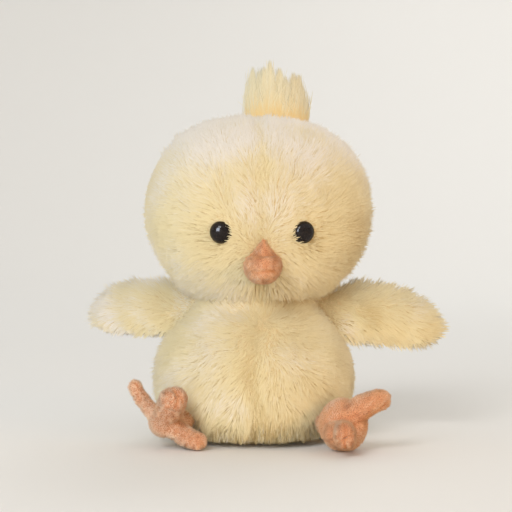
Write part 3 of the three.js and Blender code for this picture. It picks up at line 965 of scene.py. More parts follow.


# Painted shade: darker in the front seam's valley, towards the base, and on the +x side, away from the key lamp
def bodyTone(points):
    aside, up = bodyNap["wave"]
    across = points[:, 0] - aside * np.sin(points[:, 2] / up)
    valleyShade = goesOut(abs(across), bodyNap["valleyShade"]) * (points[:, 1] < 0)
    shade = valleyShade + goesOut(points[:, 2], bodyNap["lowShade"]) + comesIn(points[:, 0], bodyNap["rightShade"])
    return bodyNap["tone"] - shade + waves(points, *bodyNap["toneWaves"])


# Strands round the base stand out as a fringe
def bodyLean(points):
    return -goesOut(points[:, 2], bodyNap["fringeLean"])


def bodyLocks(points):
    middle = goesOut(abs(points[:, 0]), bodyNap["middleLocks"])
    return bodyNap["locks"] + middle + goesOut(points[:, 2], bodyNap["lowLocks"])


# Longer hair hangs round the base and hides the edge of the base panel
hem = {
    **creamPile,
    "density": 1.3e6,
    "length": 10 * mm,
    "lengths": (0.55, 1.2),
    "width": 0.14 * mm,
    "rootLean": 60,
    "tipLean": 60,
    "sway": 0.2,
    "clump": 12,
    "pull": (0.2, 0.9),
    "guardRise": 0.3,
    "toneStray": 0.24,
    "floorClear": 1.7 * mm,
    "lowest": 6 * mm,
    "highest": 17 * mm,
    "out": 0.16,
}


def hemSkin(skin):
    height = skin["points"][skin["corners"]].mean(1)[:, 2]
    return {**skin, "corners": skin["corners"][(height > hem["lowest"]) & (height < hem["highest"])]}


hemRules = {
    "flow": lambda points, normals: alongSurface(np.tile((0, 0, -1.0), (len(points), 1)), normals),
    "length": lambda points, normals: 0.5 + 0.5 * smooth(points[:, 2], 6 * mm, 12 * mm),
    # deeper than the body's pile: painted shade round the base
    "tone": lambda points: 0.34 + waves(points, 0.16, 8 * mm, 14),
    # straight down, whichever way the cloth faces there, and a little out
    "lean": lambda points: np.arccos(1 - points[:, 2] / body["bellyHeight"])
    - math.radians(hem["tipLean"])
    - hem["out"],
}


# The pile is short where a limb is sewn on
def nearLimbs(points):
    share = np.ones(len(points))
    for place in limbSeams["places"]:
        away = np.linalg.norm(points - np.array(place) * mm, axis=1)
        share = np.minimum(share, 0.35 + comesIn(away, limbSeams["longer"]))
    return share


limbSeams = {
    "places": ((37, 0, 63), (-37, 0, 63), (33, -31, 14), (-34, -30, 15)),  # in millimetres
    "longer": (0.65, 6.5 * mm, 13 * mm),
}
bodySkins = makeBody()
print("body cloth made")


# Head: wider than tall, fuller above its middle, open below
head = {
    "halfWidth": 57.5 * mm,
    "halfDepth": 53 * mm,
    "rise": 48 * mm,
    "drop": 49.5 * mm,
    "crownFullness": 2.4,
    "turn": 3.8,
    "seatHeight": 80.4 * mm,
    "swell": 0.9 * mm,
    "slack": 0.02,
    "seamPull": (0.8 * mm, 4 * mm),
    "sides": 96,
    "clothThick": 1.6 * mm,
}
head["middle"] = head["seatHeight"] + head["drop"] * math.sqrt(1 - (body["neckRadius"] / head["halfWidth"]) ** 2)
headTurn = Matrix.Rotation(math.radians(head["turn"]), 4, "Z")
headTurnBack = np.array(headTurn.to_3x3())  # row vectors times this turn back to the head's own frame


def headLine(steps):
    start = -math.acos(body["neckRadius"] / head["halfWidth"])
    line = []
    for i in range(steps + 1):
        angle = start + (math.pi / 2 - start) * (i / steps)
        power = 2 / head["crownFullness"] if angle > 0 else 1
        up = math.copysign(abs(math.sin(angle)) ** power, angle)
        line.append((
            head["halfWidth"] * max(math.cos(angle), 0.004) ** power,
            head["middle"] + (head["rise"] if angle > 0 else head["drop"]) * up,
        ))
    return line


def headFace(across, height):
    up, side = (height - head["middle"]) / head["drop"], across / head["halfWidth"]
    depth = head["halfDepth"] * math.sqrt(1 - up * up - side * side)
    outward = Vector((
        side / head["halfWidth"], -depth / head["halfDepth"] ** 2, up / head["drop"],
    )).normalized()
    return Vector((across, -depth, height)), outward


def makeHead():
    ratio = head["halfDepth"] / head["halfWidth"]
    rings = [((0, 0, z), r, r * ratio) for r, z in headLine(40)]
    whole = stackRings("headWhole", rings, head["sides"], closeEnd=True)
    seat = head["seatHeight"]
    inFront = lambda p: onFrontSeam(p) & (p[:, 2] > seat + mm)
    pullSeam(whole, inFront, *head["seamPull"])
    fillOut(whole, lambda p: inFront(p) | onLine(p[:, 1]) | (p[:, 2] < seat + 0.5 * mm), head)
    panels = {side: (f"face_cloth_{side}", f"head_face_{side}") for side in ("left", "right")}
    return cutPanels(whole, "head", head, {**panels, "back": ("head_back_cloth", "head_back")}, headTurn)


def inHead(points):
    return points @ headTurnBack


# How the pile lies on the head. Heights are from its middle
headNap = {
    "start": -22 * mm,
    "turnOver": (5 * mm, 40 * mm),
    "tone": 0.53,
    "toneWaves": (0.1, 35 * mm, 12),
    # painted shade in the valley of the front seam
    "valleyShade": (0.2, 0, 5 * mm),
    # painted light: paler on the crown and on the chin
    "crownLight": (0.42, -14 * mm, 46 * mm),
    "chinLight": (0.2, -44 * mm, -28 * mm),
    # painted shade on the +x side, away from the key lamp
    "rightShade": (0.14, 12 * mm, 50 * mm),
    "crownShorter": (0.12, 0, 40 * mm),
    "chinLonger": (0.45, -46 * mm, -32 * mm),
    "flank": (30 * mm, 52 * mm),  # the chick's right cheek, where the pile is shorter
    "flankShorter": 0.42,
    "highFlankShorter": (0.13, 0, 20 * mm),
    # places of longer pile on the crown, in millimetres, and how much longer
    "wisps": (((-50, -2, 156), 1.6), ((-43, 0, 162), 1.3), ((47, -4, 157), 0.4)),
    "wispReach": 6 * mm,
    "eyeLength": 0.42,
    "underEyeLonger": (0.16, -2 * mm, 5 * mm),
    "eyeReach": 9 * mm,
    "eyeClear": 0.97,  # of the eye's radius
    "underEyeLean": (0.34, 8 * mm, 12 * mm),  # by the distance from the eye's middle
    "chinLean": (0.15, -46 * mm, -30 * mm),
    "locks": 0.3,
    "frontLocks": 0.15,
    "ahead": (0, 20 * mm),
    "ruffled": 1.1,
    "ruffleStart": (-12 * mm, 8 * mm),
    "ruffleEnd": (30 * mm, 46 * mm),
    "ruffleHeight": (-15 * mm, 5 * mm),
}


def eyeSpots():
    return {
        side: headFace(sign * eye["spacing"] / 2, head["middle"] - eye["drop"])
        for side, sign in (("left", 1), ("right", -1))
    }


def headFlow(points, normals):
    places = inHead(points)
    start = np.array([0, -head["halfDepth"], head["middle"] + headNap["start"]])
    return downBehind(unit(places - start) @ headTurnBack.T, places, headNap["turnOver"], normals)


def headLength(points, normals):
    places = inHead(points)
    up = places[:, 2] - head["middle"]
    share = (1 - comesIn(up, headNap["crownShorter"])) * (1 + goesOut(up, headNap["chinLonger"]))
    flank = headNap["flankShorter"] + comesIn(up, headNap["highFlankShorter"])
    share *= 1 - flank * smooth(-places[:, 0], *headNap["flank"])
    for place, more in headNap["wisps"]:
        away = np.linalg.norm(points - np.array(place) * mm, axis=1)
        share *= 1 + more * (1 - smooth(away, 0, headNap["wispReach"]))
    for at, outward in eyeSpots().values():
        away = places - np.array(at)
        away = np.linalg.norm(away - dots(away, np.array(outward)) * np.array(outward), axis=1)
        near = headNap["eyeLength"] + comesIn(at.z - places[:, 2], headNap["underEyeLonger"])
        near = between(near, 1, smooth(away, eye["radius"], eye["radius"] + headNap["eyeReach"]))
        near = np.where(away < eye["radius"] * headNap["eyeClear"], 0, near)
        share = np.where(places[:, 1] < 0, np.minimum(share, near), share)
    return share * beakClear(places)


# No pile under the beak, short pile round it
def beakClear(places):
    drop = head["middle"] - places[:, 2]
    width = np.interp(drop, beak["drops"], beak["widths"], left=-20 * mm, right=-20 * mm)
    past = abs(places[:, 0]) - width
    past = np.maximum(past, np.maximum(beak["drops"][0] - drop, drop - beak["drops"][-1]))
    near = np.where(past < -0.8 * mm, 0, 0.5 + 0.5 * smooth(past, 0, 8 * mm))
    return np.where(places[:, 1] < -30 * mm, near, 1)


# Painted light on the crown and chin, and painted shade in the front seam's valley and on the +x side, away from the
# key lamp
def headTone(points):
    places = inHead(points)
    up = places[:, 2] - head["middle"]
    light = comesIn(up, headNap["crownLight"]) + goesOut(up, headNap["chinLight"])
    valleyShade = goesOut(abs(places[:, 0]), headNap["valleyShade"]) * (places[:, 1] < 0)
    shade = valleyShade + comesIn(places[:, 0], headNap["rightShade"])
    return headNap["tone"] + light - shade + waves(points, *headNap["toneWaves"])


# Strands below the eyes stand up and reach over their lower edges
def headLean(points):
    places = inHead(points)
    lean = -goesOut(places[:, 2] - head["middle"], headNap["chinLean"])
    for at, _ in eyeSpots().values():
        away = np.linalg.norm(places - np.array(at), axis=1)
        lean -= smooth(at.z - places[:, 2], 0, 4 * mm) * goesOut(away, headNap["underEyeLean"])
    return lean


# The forehead is ruffled on one side of the seam and smooth on the other
def headLocks(points):
    places = inHead(points)
    side = smooth(places[:, 0], *headNap["ruffleStart"]) * (1 - smooth(places[:, 0], *headNap["ruffleEnd"]))
    high = smooth(places[:, 2] - head["middle"], *headNap["ruffleHeight"])
    front = headNap["frontLocks"] + headNap["ruffled"] * side * high
    return headNap["locks"] + front * smooth(-places[:, 1], *headNap["ahead"])


eye = {
    "radius": 6 * mm,
    "bulge": 4.4 * mm,
    "spacing": 42.4 * mm,
    "drop": 9.6 * mm,
    "rise": 0.6 * mm,  # of the dome's foot above the cloth
    "rim": 0.3 * mm,
    "rimNarrower": 0.97,
    "shankRadius": 1.7 * mm,
    "shankLength": 9 * mm,
    "shankEdge": 0.3 * mm,
}
beak = {
    "tipDrop": 13 * mm,
    "foldDrop": 22.5 * mm,
    "wideDrop": 27 * mm,
    "bottomDrop": 36.5 * mm,
    "mouthDrop": 29.5 * mm,
    "halfWidth": 9.5 * mm,
    "upperDrop": 23.3 * mm,
    "upperHalfWidth": 8.5 * mm,
    "tipHalfWidth": 1 * mm,
    "reach": 8.5 * mm,
    "foldReach": 6.6 * mm,
    "tipReach": -0.5 * mm,
    "bottomReach": -7 * mm,
    "rootReach": -23 * mm,
    "setBack": 2.6 * mm,  # of the upper panel behind the fold
    "rollDrop": 0.9 * mm,
    "rollHalfWidth": 7.4 * mm,
    "rollNarrower": 3 * mm,
    "rollDeeper": 4.6 * mm,
    "aside": 0.5 * mm,  # towards the chick's left
    "mouthPull": (0.9 * mm, 1.5 * mm),
    "mouthHalf": 6 * mm,
    "wave": (0.6 * mm, 1.6 * mm),  # of the shades, up and across
    "mouthShade": (0.5, 0, 1.1 * mm),
    "notchShade": (0.5, 0, 1.8 * mm),
    "notch": (33.5 * mm, 36.5 * mm),
    "foldShade": (0.38, -2.5 * mm, -0.3 * mm),
    "hidden": 0.985,  # what is deeper in the head than this is cut away
    "clothThick": 1.1 * mm,
    "sides": 64,
}
beak["drops"] = [14 * mm, beak["foldDrop"], beak["wideDrop"], 32 * mm, beak["bottomDrop"]]
beak["widths"] = [1.3 * mm, 8.4 * mm, beak["halfWidth"], 8.4 * mm, 1 * mm]
headSkins = makeHead()
print("head cloth made")


def makeEyes():
    for side, (at, outward) in eyeSpots().items():
        clearSelection()
        long = eye["shankLength"]
        bpy.ops.mesh.primitive_cylinder_add(
            vertices=24, radius=eye["shankRadius"], depth=long, location=(0, 0, -long / 2),
        )
        shank = bpy.context.object
        startEdit(shank)
        bpy.ops.mesh.bevel(offset=eye["shankEdge"], segments=2, affect="EDGES")
        endEdit()
        bpy.ops.mesh.primitive_uv_sphere_add(segments=48, ring_count=32, radius=eye["radius"])
        dome = bpy.context.object
        startEdit(dome)
        bpy.ops.mesh.bisect(plane_co=(0, 0, 0), plane_no=(0, 0, 1), clear_inner=True)
        bpy.ops.mesh.select_all(action="SELECT")
        bpy.ops.transform.resize(value=(1, 1, eye["bulge"] / eye["radius"]), center_override=(0, 0, 0))
        bpy.ops.transform.translate(value=(0, 0, eye["rise"]))
        endEdit()
        editPoints(dome, coordinatesOf(dome)[:, 2] < eye["rise"] + 0.01 * mm)
        bpy.ops.mesh.extrude_region_move(TRANSFORM_OT_translate={"value": (0, 0, -eye["rim"])})
        bpy.ops.transform.resize(value=(eye["rimNarrower"], eye["rimNarrower"], 1), center_override=(0, 0, 0))
        closeRing()
        bpy.ops.mesh.select_all(action="SELECT")
        bpy.ops.mesh.normals_make_consistent(inside=False)
        endEdit()
        shank.select_set(True)
        bpy.ops.object.join()
        dome.name = dome.data.name = f"safety_eye_{side}"
        bpy.ops.object.shade_smooth_by_angle(angle=math.radians(40))
        turn = Vector((0, 0, 1)).rotation_difference(outward).to_matrix().to_4x4()
        applyPlace(dome, headTurn @ Matrix.Translation(at) @ turn)
        finishPiece(dome, "head", looks["eye"])
        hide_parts(f"eye_{side}")


makeEyes()
print("eyes made")


def beakRing(drop, width, reach):
    deep = (reach - beak["rootReach"]) / 2
    middle = (beak["aside"], -head["halfDepth"] - beak["rootReach"] - deep, head["middle"] - drop)
    return middle, width, deep


def onMouth(points):
    line = head["middle"] - beak["mouthDrop"] - 0.06 * abs(points[:, 0])
    near = (abs(points[:, 2] - line) < 0.4 * mm) & (abs(points[:, 0] - beak["aside"]) < 5.5 * mm)
    return near & (points[:, 1] < -head["halfDepth"])


def beakRings():
    low = []
    for i in range(1, 17):
        share = i / 16
        around = math.sqrt(1 - (1 - share) ** 2)
        low.append(beakRing(
            between(beak["bottomDrop"], beak["wideDrop"], share),
            beak["halfWidth"] * around,
            between(beak["bottomReach"], beak["reach"], around),
        ))
    for i in range(1, 7):  # rounded over to the fold
        angle = i / 6 * math.pi / 2
        close = 1 - math.cos(angle)
        low.append(beakRing(
            between(beak["wideDrop"], beak["foldDrop"], math.sin(angle)),
            between(beak["halfWidth"], beak["rollHalfWidth"], close),
            between(beak["reach"], beak["foldReach"], close),
        ))
    for share in (0.35, 0.7, 1):  # and in behind it
        low.append(beakRing(
            beak["foldDrop"] + beak["rollDrop"] * share * share,
            beak["rollHalfWidth"] - beak["rollNarrower"] * share,
            beak["foldReach"] - beak["rollDeeper"] * share,
        ))
    high = [
        beakRing(
            between(beak["upperDrop"], beak["tipDrop"], share),
            between(beak["upperHalfWidth"], beak["tipHalfWidth"], share),
            between(beak["foldReach"] - beak["setBack"], beak["tipReach"], share),
        )
        for share in np.arange(13) / 12
    ]
    return low, high


def makeBeak():
    low, high = beakRings()
    skins = {}
    for name, rings, ends in (("lower", low, (True, False)), ("upper", high, (False, True))):
        whole = stackRings(f"beak_cloth_{name}", rings, beak["sides"], *ends)
        if name == "lower":
            pullSeam(whole, onMouth, *beak["mouthPull"])
        x, y, z = coordinatesOf(whole).T
        deep = (x / head["halfWidth"]) ** 2 + (y / head["halfDepth"]) ** 2 + ((z - head["middle"]) / head["drop"]) ** 2
        editPoints(whole, deep < beak["hidden"])
        bpy.ops.mesh.delete(type="VERT")
        endEdit()
        applyPlace(whole, headTurn)
        skins[name] = surfaceOf(whole)
        clothPiece(whole, "head", "salmon", f"beak_{name}", beak["clothThick"])
    return skins


def beakFlow(points, normals):
    stray = np.stack([waves(points, 0.6, 6 * mm, seed) for seed in (31, 32, 33)], 1)
    return alongSurface(np.array([0, -0.4, -0.6]) + stray, normals)


# Painted shade: deeper along the mouth line, at the notch below it, and on the upper panel just above the fold
def beakShade(points):
    places = inHead(points)
    up, across = beak["wave"]
    drop = head["middle"] - places[:, 2] + up * np.sin(places[:, 0] / across)
    inFront = (places[:, 1] < -head["halfDepth"]) & (abs(places[:, 0]) < beak["mouthHalf"])
    line = goesOut(abs(drop - beak["mouthDrop"]), beak["mouthShade"]) * inFront
    notch = goesOut(abs(places[:, 0]), beak["notchShade"]) * smooth(drop, *beak["notch"])
    fold = 0.02 + comesIn(drop - beak["foldDrop"], beak["foldShade"])
    return line + notch + fold * (drop < beak["foldDrop"] + 0.3 * mm)


beakPile = {
    **salmonPile,
    "density": 13e6,
    "width": 0.135 * mm,
    "sway": 0.7,
    "ruffle": 0.2,
    "clump": 7,
    "toneStray": 0.07,
}
beakRules = {
    "flow": beakFlow,
    "length": lambda points, normals: np.full(len(points), 0.55),
    "tone": lambda points: 0.62 + waves(points, 0.1, 3 * mm, 34) - beakShade(points),
}
beakSkins = makeBeak()
print("beak cloth made")


# Wings: padded leaves sewn along a slanting seam
wing = {
    "seamDrop": 12 * mm,
    "seamTilt": 35.0,
    "rootHalfHeight": 9 * mm,
    "rootHalfThick": 1.4 * mm,
    "length": 63 * mm,
    "halfHeight": 12.8 * mm,
    "halfThick": 8.6 * mm,
    "widest": 0.42,
    "tipBlunt": 0.985,
    "tipFullness": 2.4,
    "start": 0.8 * mm,
    "steps": 28,
    "arch": 4.5 * mm,
    "sides": 48,
    "clothThick": 1.4 * mm,
    "swell": 1 * mm,
    "slack": 0.06,
    "crossing": 4 * mm,
    "overLean": 1.1,
    "gap": 0.3 * mm,
    "seamHalf": 3 * mm,
    "outLonger": (0.65, 2 * mm, 14 * mm),
    "outLighter": (0.12, 10 * mm, 60 * mm),
    "toneWaves": (0.12, 22 * mm, 13),
    "pose": {"left": (1, 6, 5), "right": (-1, -4, 37)},  # side, droop and sweep in degrees
    "lowShare": {"left": 0.1, "right": 0.5},  # how much shorter the pile is below
    # the left wing, away from the key lamp, is painted deeper and the right paler: painted shade and light
    "tone": {"left": 0.38, "right": 0.66},
}


def wingMatrix(side):
    sign, droop, swept = wing["pose"][side]
    tilt = math.radians(wing["seamTilt"])
    line = Vector((-sign * math.sin(tilt), 0, math.cos(tilt)))
    height = body["neckHeight"] - wing["seamDrop"]
    place = Vector((sign * (float(bodyRadiusAt(height)) + wing["gap"]), 0, height))
    turn = Quaternion(line, sign * math.radians(swept))
    turn = turn @ Quaternion((0, 1, 0), sign * math.radians(droop))
    return Matrix.Translation(place) @ turn.to_matrix().to_4x4()


def makeWings():
    skins = {}
    for side, (sign, droop, _) in wing["pose"].items():
        slant = -math.tan(math.radians(wing["seamTilt"] + droop))
        rings = []
        for i in range(wing["steps"] + 1):
            step = (i / wing["steps"]) ** 0.85
            past = min(max((step - wing["widest"]) / (1 - wing["widest"]), 0), wing["tipBlunt"])
            swell = math.sin(math.pi / 2 * min(step / wing["widest"], 1))
            close = math.sqrt(1 - past ** wing["tipFullness"])
            tall = between(wing["rootHalfHeight"], wing["halfHeight"], swell) * close
            thick = between(wing["rootHalfThick"], wing["halfThick"], swell) * close
            lean = sign * slant * (1 - step) ** 1.5
            out = step * wing["length"] + wing["start"]
            middle = (sign * out, 0, wing["arch"] * 4 * step * (1 - step))
            rings.append((middle, tall * math.hypot(1, lean), thick, math.atan(lean) - math.pi / 2))
        whole = stackRings(f"wing_whole_{side}", rings, wing["sides"], closeStart=True, closeEnd=True)
        fillOut(whole, lambda p: onLine(p[:, 1]) | (abs(p[:, 0]) < wing["seamHalf"]), wing)
        for face, way in (("front", -1), ("back", 1)):
            piece = panelOf(whole, f"wing_{face}_cloth_{side}", (0, way, 0))
            applyPlace(piece, wingMatrix(side))
            skins[side, face] = surfaceOf(piece)
            clothPiece(piece, f"wing_{side}", "cream", f"wing_{side}_{face}", wing["clothThick"])
        remove(whole)
    return skins


def wingRules(side):
    matrix = wingMatrix(side)
    back = np.array(matrix.inverted())
    outward = np.array(matrix.to_3x3() @ Vector((wing["pose"][side][0], 0, -0.12)))
    through = np.array(matrix.to_3x3() @ Vector((0, 1, 0)))

    def inWing(points):
        return points @ back[:3, :3].T + back[:3, 3]

    # Strands beside the seam round the edge lean over it
    def flow(points, normals):
        deep = inWing(points)[:, 1]
        near = np.sign(deep) * (1 - smooth(abs(deep), 0, wing["crossing"]))
        return alongSurface(outward - wing["overLean"] * near[:, None] * through, normals)

    def length(points, normals):
        below = wing["lowShare"][side] * smooth(-normals[:, 2], 0, 0.8)
        return (0.35 + comesIn(abs(inWing(points)[:, 0]), wing["outLonger"])) * (1 - below)

    def tone(points):
        lighter = comesIn(abs(inWing(points)[:, 0]), wing["outLighter"])
        return wing["tone"][side] + lighter + waves(points, *wing["toneWaves"])

    return {"flow": flow, "length": length, "tone": tone}


wingPile = {
    face: {**creamPile, "upwards": upwards, "ruffle": 0.06, "sway": 0.25, "pull": (0.05, 0.22), "fuzz": 0.3 * mm}
    for face, upwards in (("front", 0.8), ("back", 1.6))
}
wingSkins = makeWings()
print("wing cloth made")


# Feet: three fat toes on a palm
foot = {
    "toeRadius": 5.4 * mm,
    "toeKnob": 5.1 * mm,
    "toeReach": 22 * mm,
    "legRadius": 5.6 * mm,
    "legBallRadius": 6 * mm,
    "legBalls": 8,
    "toeBalls": 14,
    "floorGap": 0.2 * mm,
    "voxel": 0.9 * mm,
    "clothThick": 0.9 * mm,
    "fillGap": 0.1 * mm,
    "swell": 0.6 * mm,
    "slack": 0.06,
    "seamHalf": 0.5 * mm,
    "seamPull": (0.5 * mm, 1.6 * mm),
    "tipHalf": 0.45 * mm,
    "tipStart": 0.35,  # of the knob's radius past the toe's end
    "tipWave": (0.5 * mm, 1.5 * mm),  # aside and up
    "tipPull": (0.9 * mm, 1.8 * mm),
    "seamShade": (0.25, 0.2 * mm, 1.1 * mm),
    "tipShade": (0.5, 0.2 * mm, 1 * mm),
    "toneWaves": ((0.1, 12 * mm, 42), (0.06, 3 * mm, 43)),
    # the way each toe points, its length and thickness beside the usual toe's, how far it bends, how much fatter it
    # is at its root, and its height beside its width
    "left": {
        "sign": 1,
        # deeper on this foot, away from the key lamp: painted shade
        "tone": 0.6,
        "place": (37.328 * mm, -34.924 * mm, 12.389 * mm),
        "aim": 62,
        "legLength": 17.1 * mm,
        "palmRadius": 12 * mm,
        "palmRise": 1.3 * mm,
        "toes": (
            ((0.774, -0.194, 0.603), 1.12, 0.98, (-2, -8, 6), 2.2 * mm, 1),
            ((-0.02, -1, -0.06), 1, 1.05, (0, 0, 0), 0, 1.3),
            ((-0.35, -0.85, -0.15), 0.5, 1.25, (0, 0, 0), 0, 1),
        ),
    },
    "right": {
        "sign": -1,
        # paler on this foot, on the key lamp's side: painted light
        "tone": 0.9,
        "place": (-38.914 * mm, -33.944 * mm, 13.386 * mm),
        "aim": 43,
        "legLength": 12 * mm,
        "palmRadius": 8.2 * mm,
        "palmRise": 0,
        "toes": (
            ((-0.665, 0.165, 0.727), 1.09, 0.7, (-2, 0, -3), 0.8 * mm, 1),
            ((0.275, -0.674, 0.688), 0.81, 1.38, (0, 0, 0), 0, 1),
            ((0.814, -0.372, -0.451), 0.96, 0.94, (0, 0, -2), 0.6 * mm, 1),
        ),
    },
}


def addBall(place, radius, tall=1):
    size = (1, 1, tall)
    bpy.ops.mesh.primitive_uv_sphere_add(segments=24, ring_count=16, radius=radius, location=place, scale=size)
    return bpy.context.object


# How far a point is from the upright seam that closes the end of the fattest toe
def tipSeam(palm, toes):
    way, long = max(toes[:2], key=lambda toe: toe[2])[:2]
    end = np.array(palm + way * foot["toeReach"] * long)
    side = np.array(way.cross(Vector((0, 0, 1))).normalized())
    way = np.array(way)

    def distance(points):
        off = points - end
        aside, up = foot["tipWave"]
        wavy = aside * np.sin(off[:, 2] / up)
        beyond = np.maximum(foot["toeKnob"] * foot["tipStart"] - off @ way, 0)
        return np.hypot(off @ side + wavy, beyond)

    return distance


# Leg, palm and toes as rows of balls, run together into one form
def footForm(side, palm, toes):
    this = foot[side]
    clearSelection()
    rise = this["palmRise"]
    balls = [addBall(palm + Vector((0, 0, rise)), this["palmRadius"], 1 + rise / this["palmRadius"])]
    for share in np.linspace(0, 1, foot["legBalls"]):
        radius = between(foot["legBallRadius"], foot["legRadius"], share)
        balls.append(addBall(Vector(this["place"]).lerp(palm, share), radius))
    for way, long, thick, bend, fatter, tall in toes:
        for share in np.linspace(0, 1, foot["toeBalls"]):
            balls.append(addBall(
                palm + way * (foot["toeReach"] * long * share) + bend * (2 * share * (1 - share)),
                between(foot["toeRadius"], foot["toeKnob"], share) * thick + fatter * (1 - share),
                between(1, tall, share),
            ))
    clearSelection()
    for ball in balls:
        ball.select_set(True)
    bpy.context.view_layer.objects.active = balls[0]
    bpy.ops.object.join()
    bpy.ops.object.transform_apply(location=True, rotation=True, scale=True)
    balls[0].name = f"foot_whole_{side}"
    applyModifier(balls[0], "REMESH", mode="VOXEL", voxel_size=foot["voxel"])
    applyModifier(balls[0], "SMOOTH", factor=0.5, iterations=6)
    return balls[0]


def makeFeet():
    skins = {}
    for side in ("left", "right"):
        this = foot[side]
        toes = [(Vector(toe[0]).normalized(), *toe[1:3], Vector(toe[3]) * mm, *toe[4:]) for toe in this["toes"]]
        aim = math.radians(this["aim"])
        forward = Vector((this["sign"] * math.cos(aim), -math.sin(aim), 0))
        palm = Vector(this["place"]) + forward * this["legLength"]
        depths = [
            foot["toeKnob"] * thick * tall - foot["toeReach"] * long * way.z for way, long, thick, _, _, tall in toes
        ]
        palm.z = max(this["palmRadius"], *depths) + foot["floorGap"]
        whole = footForm(side, palm, toes)
        outer, middle, inner = [toe[0] for toe in toes]
        flat = middle.cross(outer - inner).normalized()
        fromTip = tipSeam(palm, toes)
        onSeam = lambda p: abs((p - np.array(palm)) @ np.array(flat)) < foot["seamHalf"]
        onTip = lambda p: fromTip(p) < foot["tipHalf"]
        pullSeam(whole, onSeam, *foot["seamPull"])
        pullSeam(whole, onTip, *foot["tipPull"])
        fillOut(whole, lambda p: onSeam(p) | onTip(p), foot)
        fill = copyOf(whole, f"foot_{side}_fill")
        startEdit(fill)
        bpy.ops.transform.shrink_fatten(value=-foot["clothThick"] - foot["fillGap"])
        endEdit()
        finishPiece(fill, f"foot_{side}", looks["fibre"])
        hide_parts(f"foot_{side}_stuffing")
        for name, way in (("upper", flat), ("sole", -flat)):
            piece = panelOf(whole, f"foot_{name}_cloth_{side}", way, point=palm)
            bpy.ops.object.shade_smooth()
            skins[side, name] = surfaceOf(piece)
            clothPiece(piece, f"foot_{side}", "salmon", f"foot_{side}_{name}", foot["clothThick"])
        remove(whole)
        skins[side] = np.array(palm), np.array(flat), fromTip
    return skins


footSkins = makeFeet()
print("foot cloth made")


def footRules(side):
    palm, flat, fromTip = footSkins[side]

    # Painted shade along the seam between upper and sole, and along the seam that closes the toe's end
    def tone(points):
        shade = goesOut(abs((points - palm) @ flat), foot["seamShade"]) + goesOut(fromTip(points), foot["tipShade"])
        return foot[side]["tone"] + sum(waves(points, *rule) for rule in foot["toneWaves"]) - shade

    return {
        "flow": lambda points, normals: alongSurface(points - palm, normals),
        "length": lambda points, normals: 0.66 + waves(points, 0.05, 7 * mm, 41),
        "tone": tone,
    }


# Pile on every panel
headRules = {"flow": headFlow, "length": headLength, "tone": headTone, "lean": headLean, "locks": headLocks}
bodyRules = {"flow": bodyFlow, "length": bodyLength, "tone": bodyTone, "lean": bodyLean, "locks": bodyLocks}


# The last numbers are the seed of each pile's draws, and its share of the usual number of strands
def growAll():
    for i, side in enumerate(("left", "right")):
        growPile(f"face_pile_{side}", headSkins[side], creamPile, headRules, "head", 101 + i, 1.1)
        growPile(f"belly_pile_{side}", bodySkins[side], creamPile, bodyRules, "body", 111 + i, 1.1)
        for j, face in enumerate(("front", "back")):
            skin, name = wingSkins[side, face], f"wing_{face}_pile_{side}"
            growPile(name, skin, wingPile[face], wingRules(side), f"wing_{side}", 121 + 2 * i + j)
        for j, part in enumerate(("upper", "sole")):
            skin, name = footSkins[side, part], f"foot_{part}_pile_{side}"
            growPile(name, skin, salmonPile, footRules(side), f"foot_{side}", 131 + 2 * i + j)
    for i, side in enumerate(("left", "right", "back")):
        fringe = growPile(f"hem_fringe_{side}", hemSkin(bodySkins[side]), hem, hemRules, "body", 171 + i)
        fringe.visible_shadow = True
    for i, half in enumerate(halves(headSkins["back"])):
        growPile(f"head_back_pile_{i + 1}", half, creamPile, headRules, "head", 141 + i, 0.9)
    for i, half in enumerate(halves(bodySkins["back"])):
        growPile(f"back_pile_{i + 1}", half, creamPile, bodyRules, "body", 151 + i, 0.9)
    for i, part in enumerate(("upper", "lower")):
        growPile(f"beak_{part}_pile", beakSkins[part], beakPile, beakRules, "head", 161 + i)


# Both sides of a large panel, so that neither pile is too heavy
def halves(skin):
    middle = skin["points"][skin["corners"]].mean(1)[:, 0]
    return [{**skin, "corners": skin["corners"][side]} for side in (middle >= 0, middle < 0)]


growAll()
print("pile grown")


# Crest: long locks in the crown seam
tuft = {
    "offset": 10.5 * mm,
    "width": 33 * mm,
    "strands": 3400,
    "rootHalfDepth": 5.6 * mm,
    "halfWidth": 0.15 * mm,
    # across from the middle, height, depth and share of the strands of each lock
    "locks": (
        (-12.5, 32.5, -2, 0.14), (-8.5, 32, 3, 0.1), (-6, 33, 0, 0.12), (-2.8, 36.5, -1, 0.15), (2.5, 32.5, 2, 0.13),
        (5.5, 27.5, -2.5, 0.08), (10.2, 30, 1, 0.14), (12.8, 29, -1, 0.1), (15.5, 22.5, 1, 0.04),
    ),
    "lengths": (0.36, 1),
    "rootSpread": 2.6 * mm,
    "rootFall": 1.6 * mm,  # of the outermost roots
    "rootDrop": 2 * mm,
    "tipSpread": (4.2 * mm, 3.6 * mm, 1.2 * mm),
    "strayShare": 0.12,
    "straySpread": (2.6 * mm, 2.6 * mm, 1.04 * mm),
    "upwards": 0.28,
}


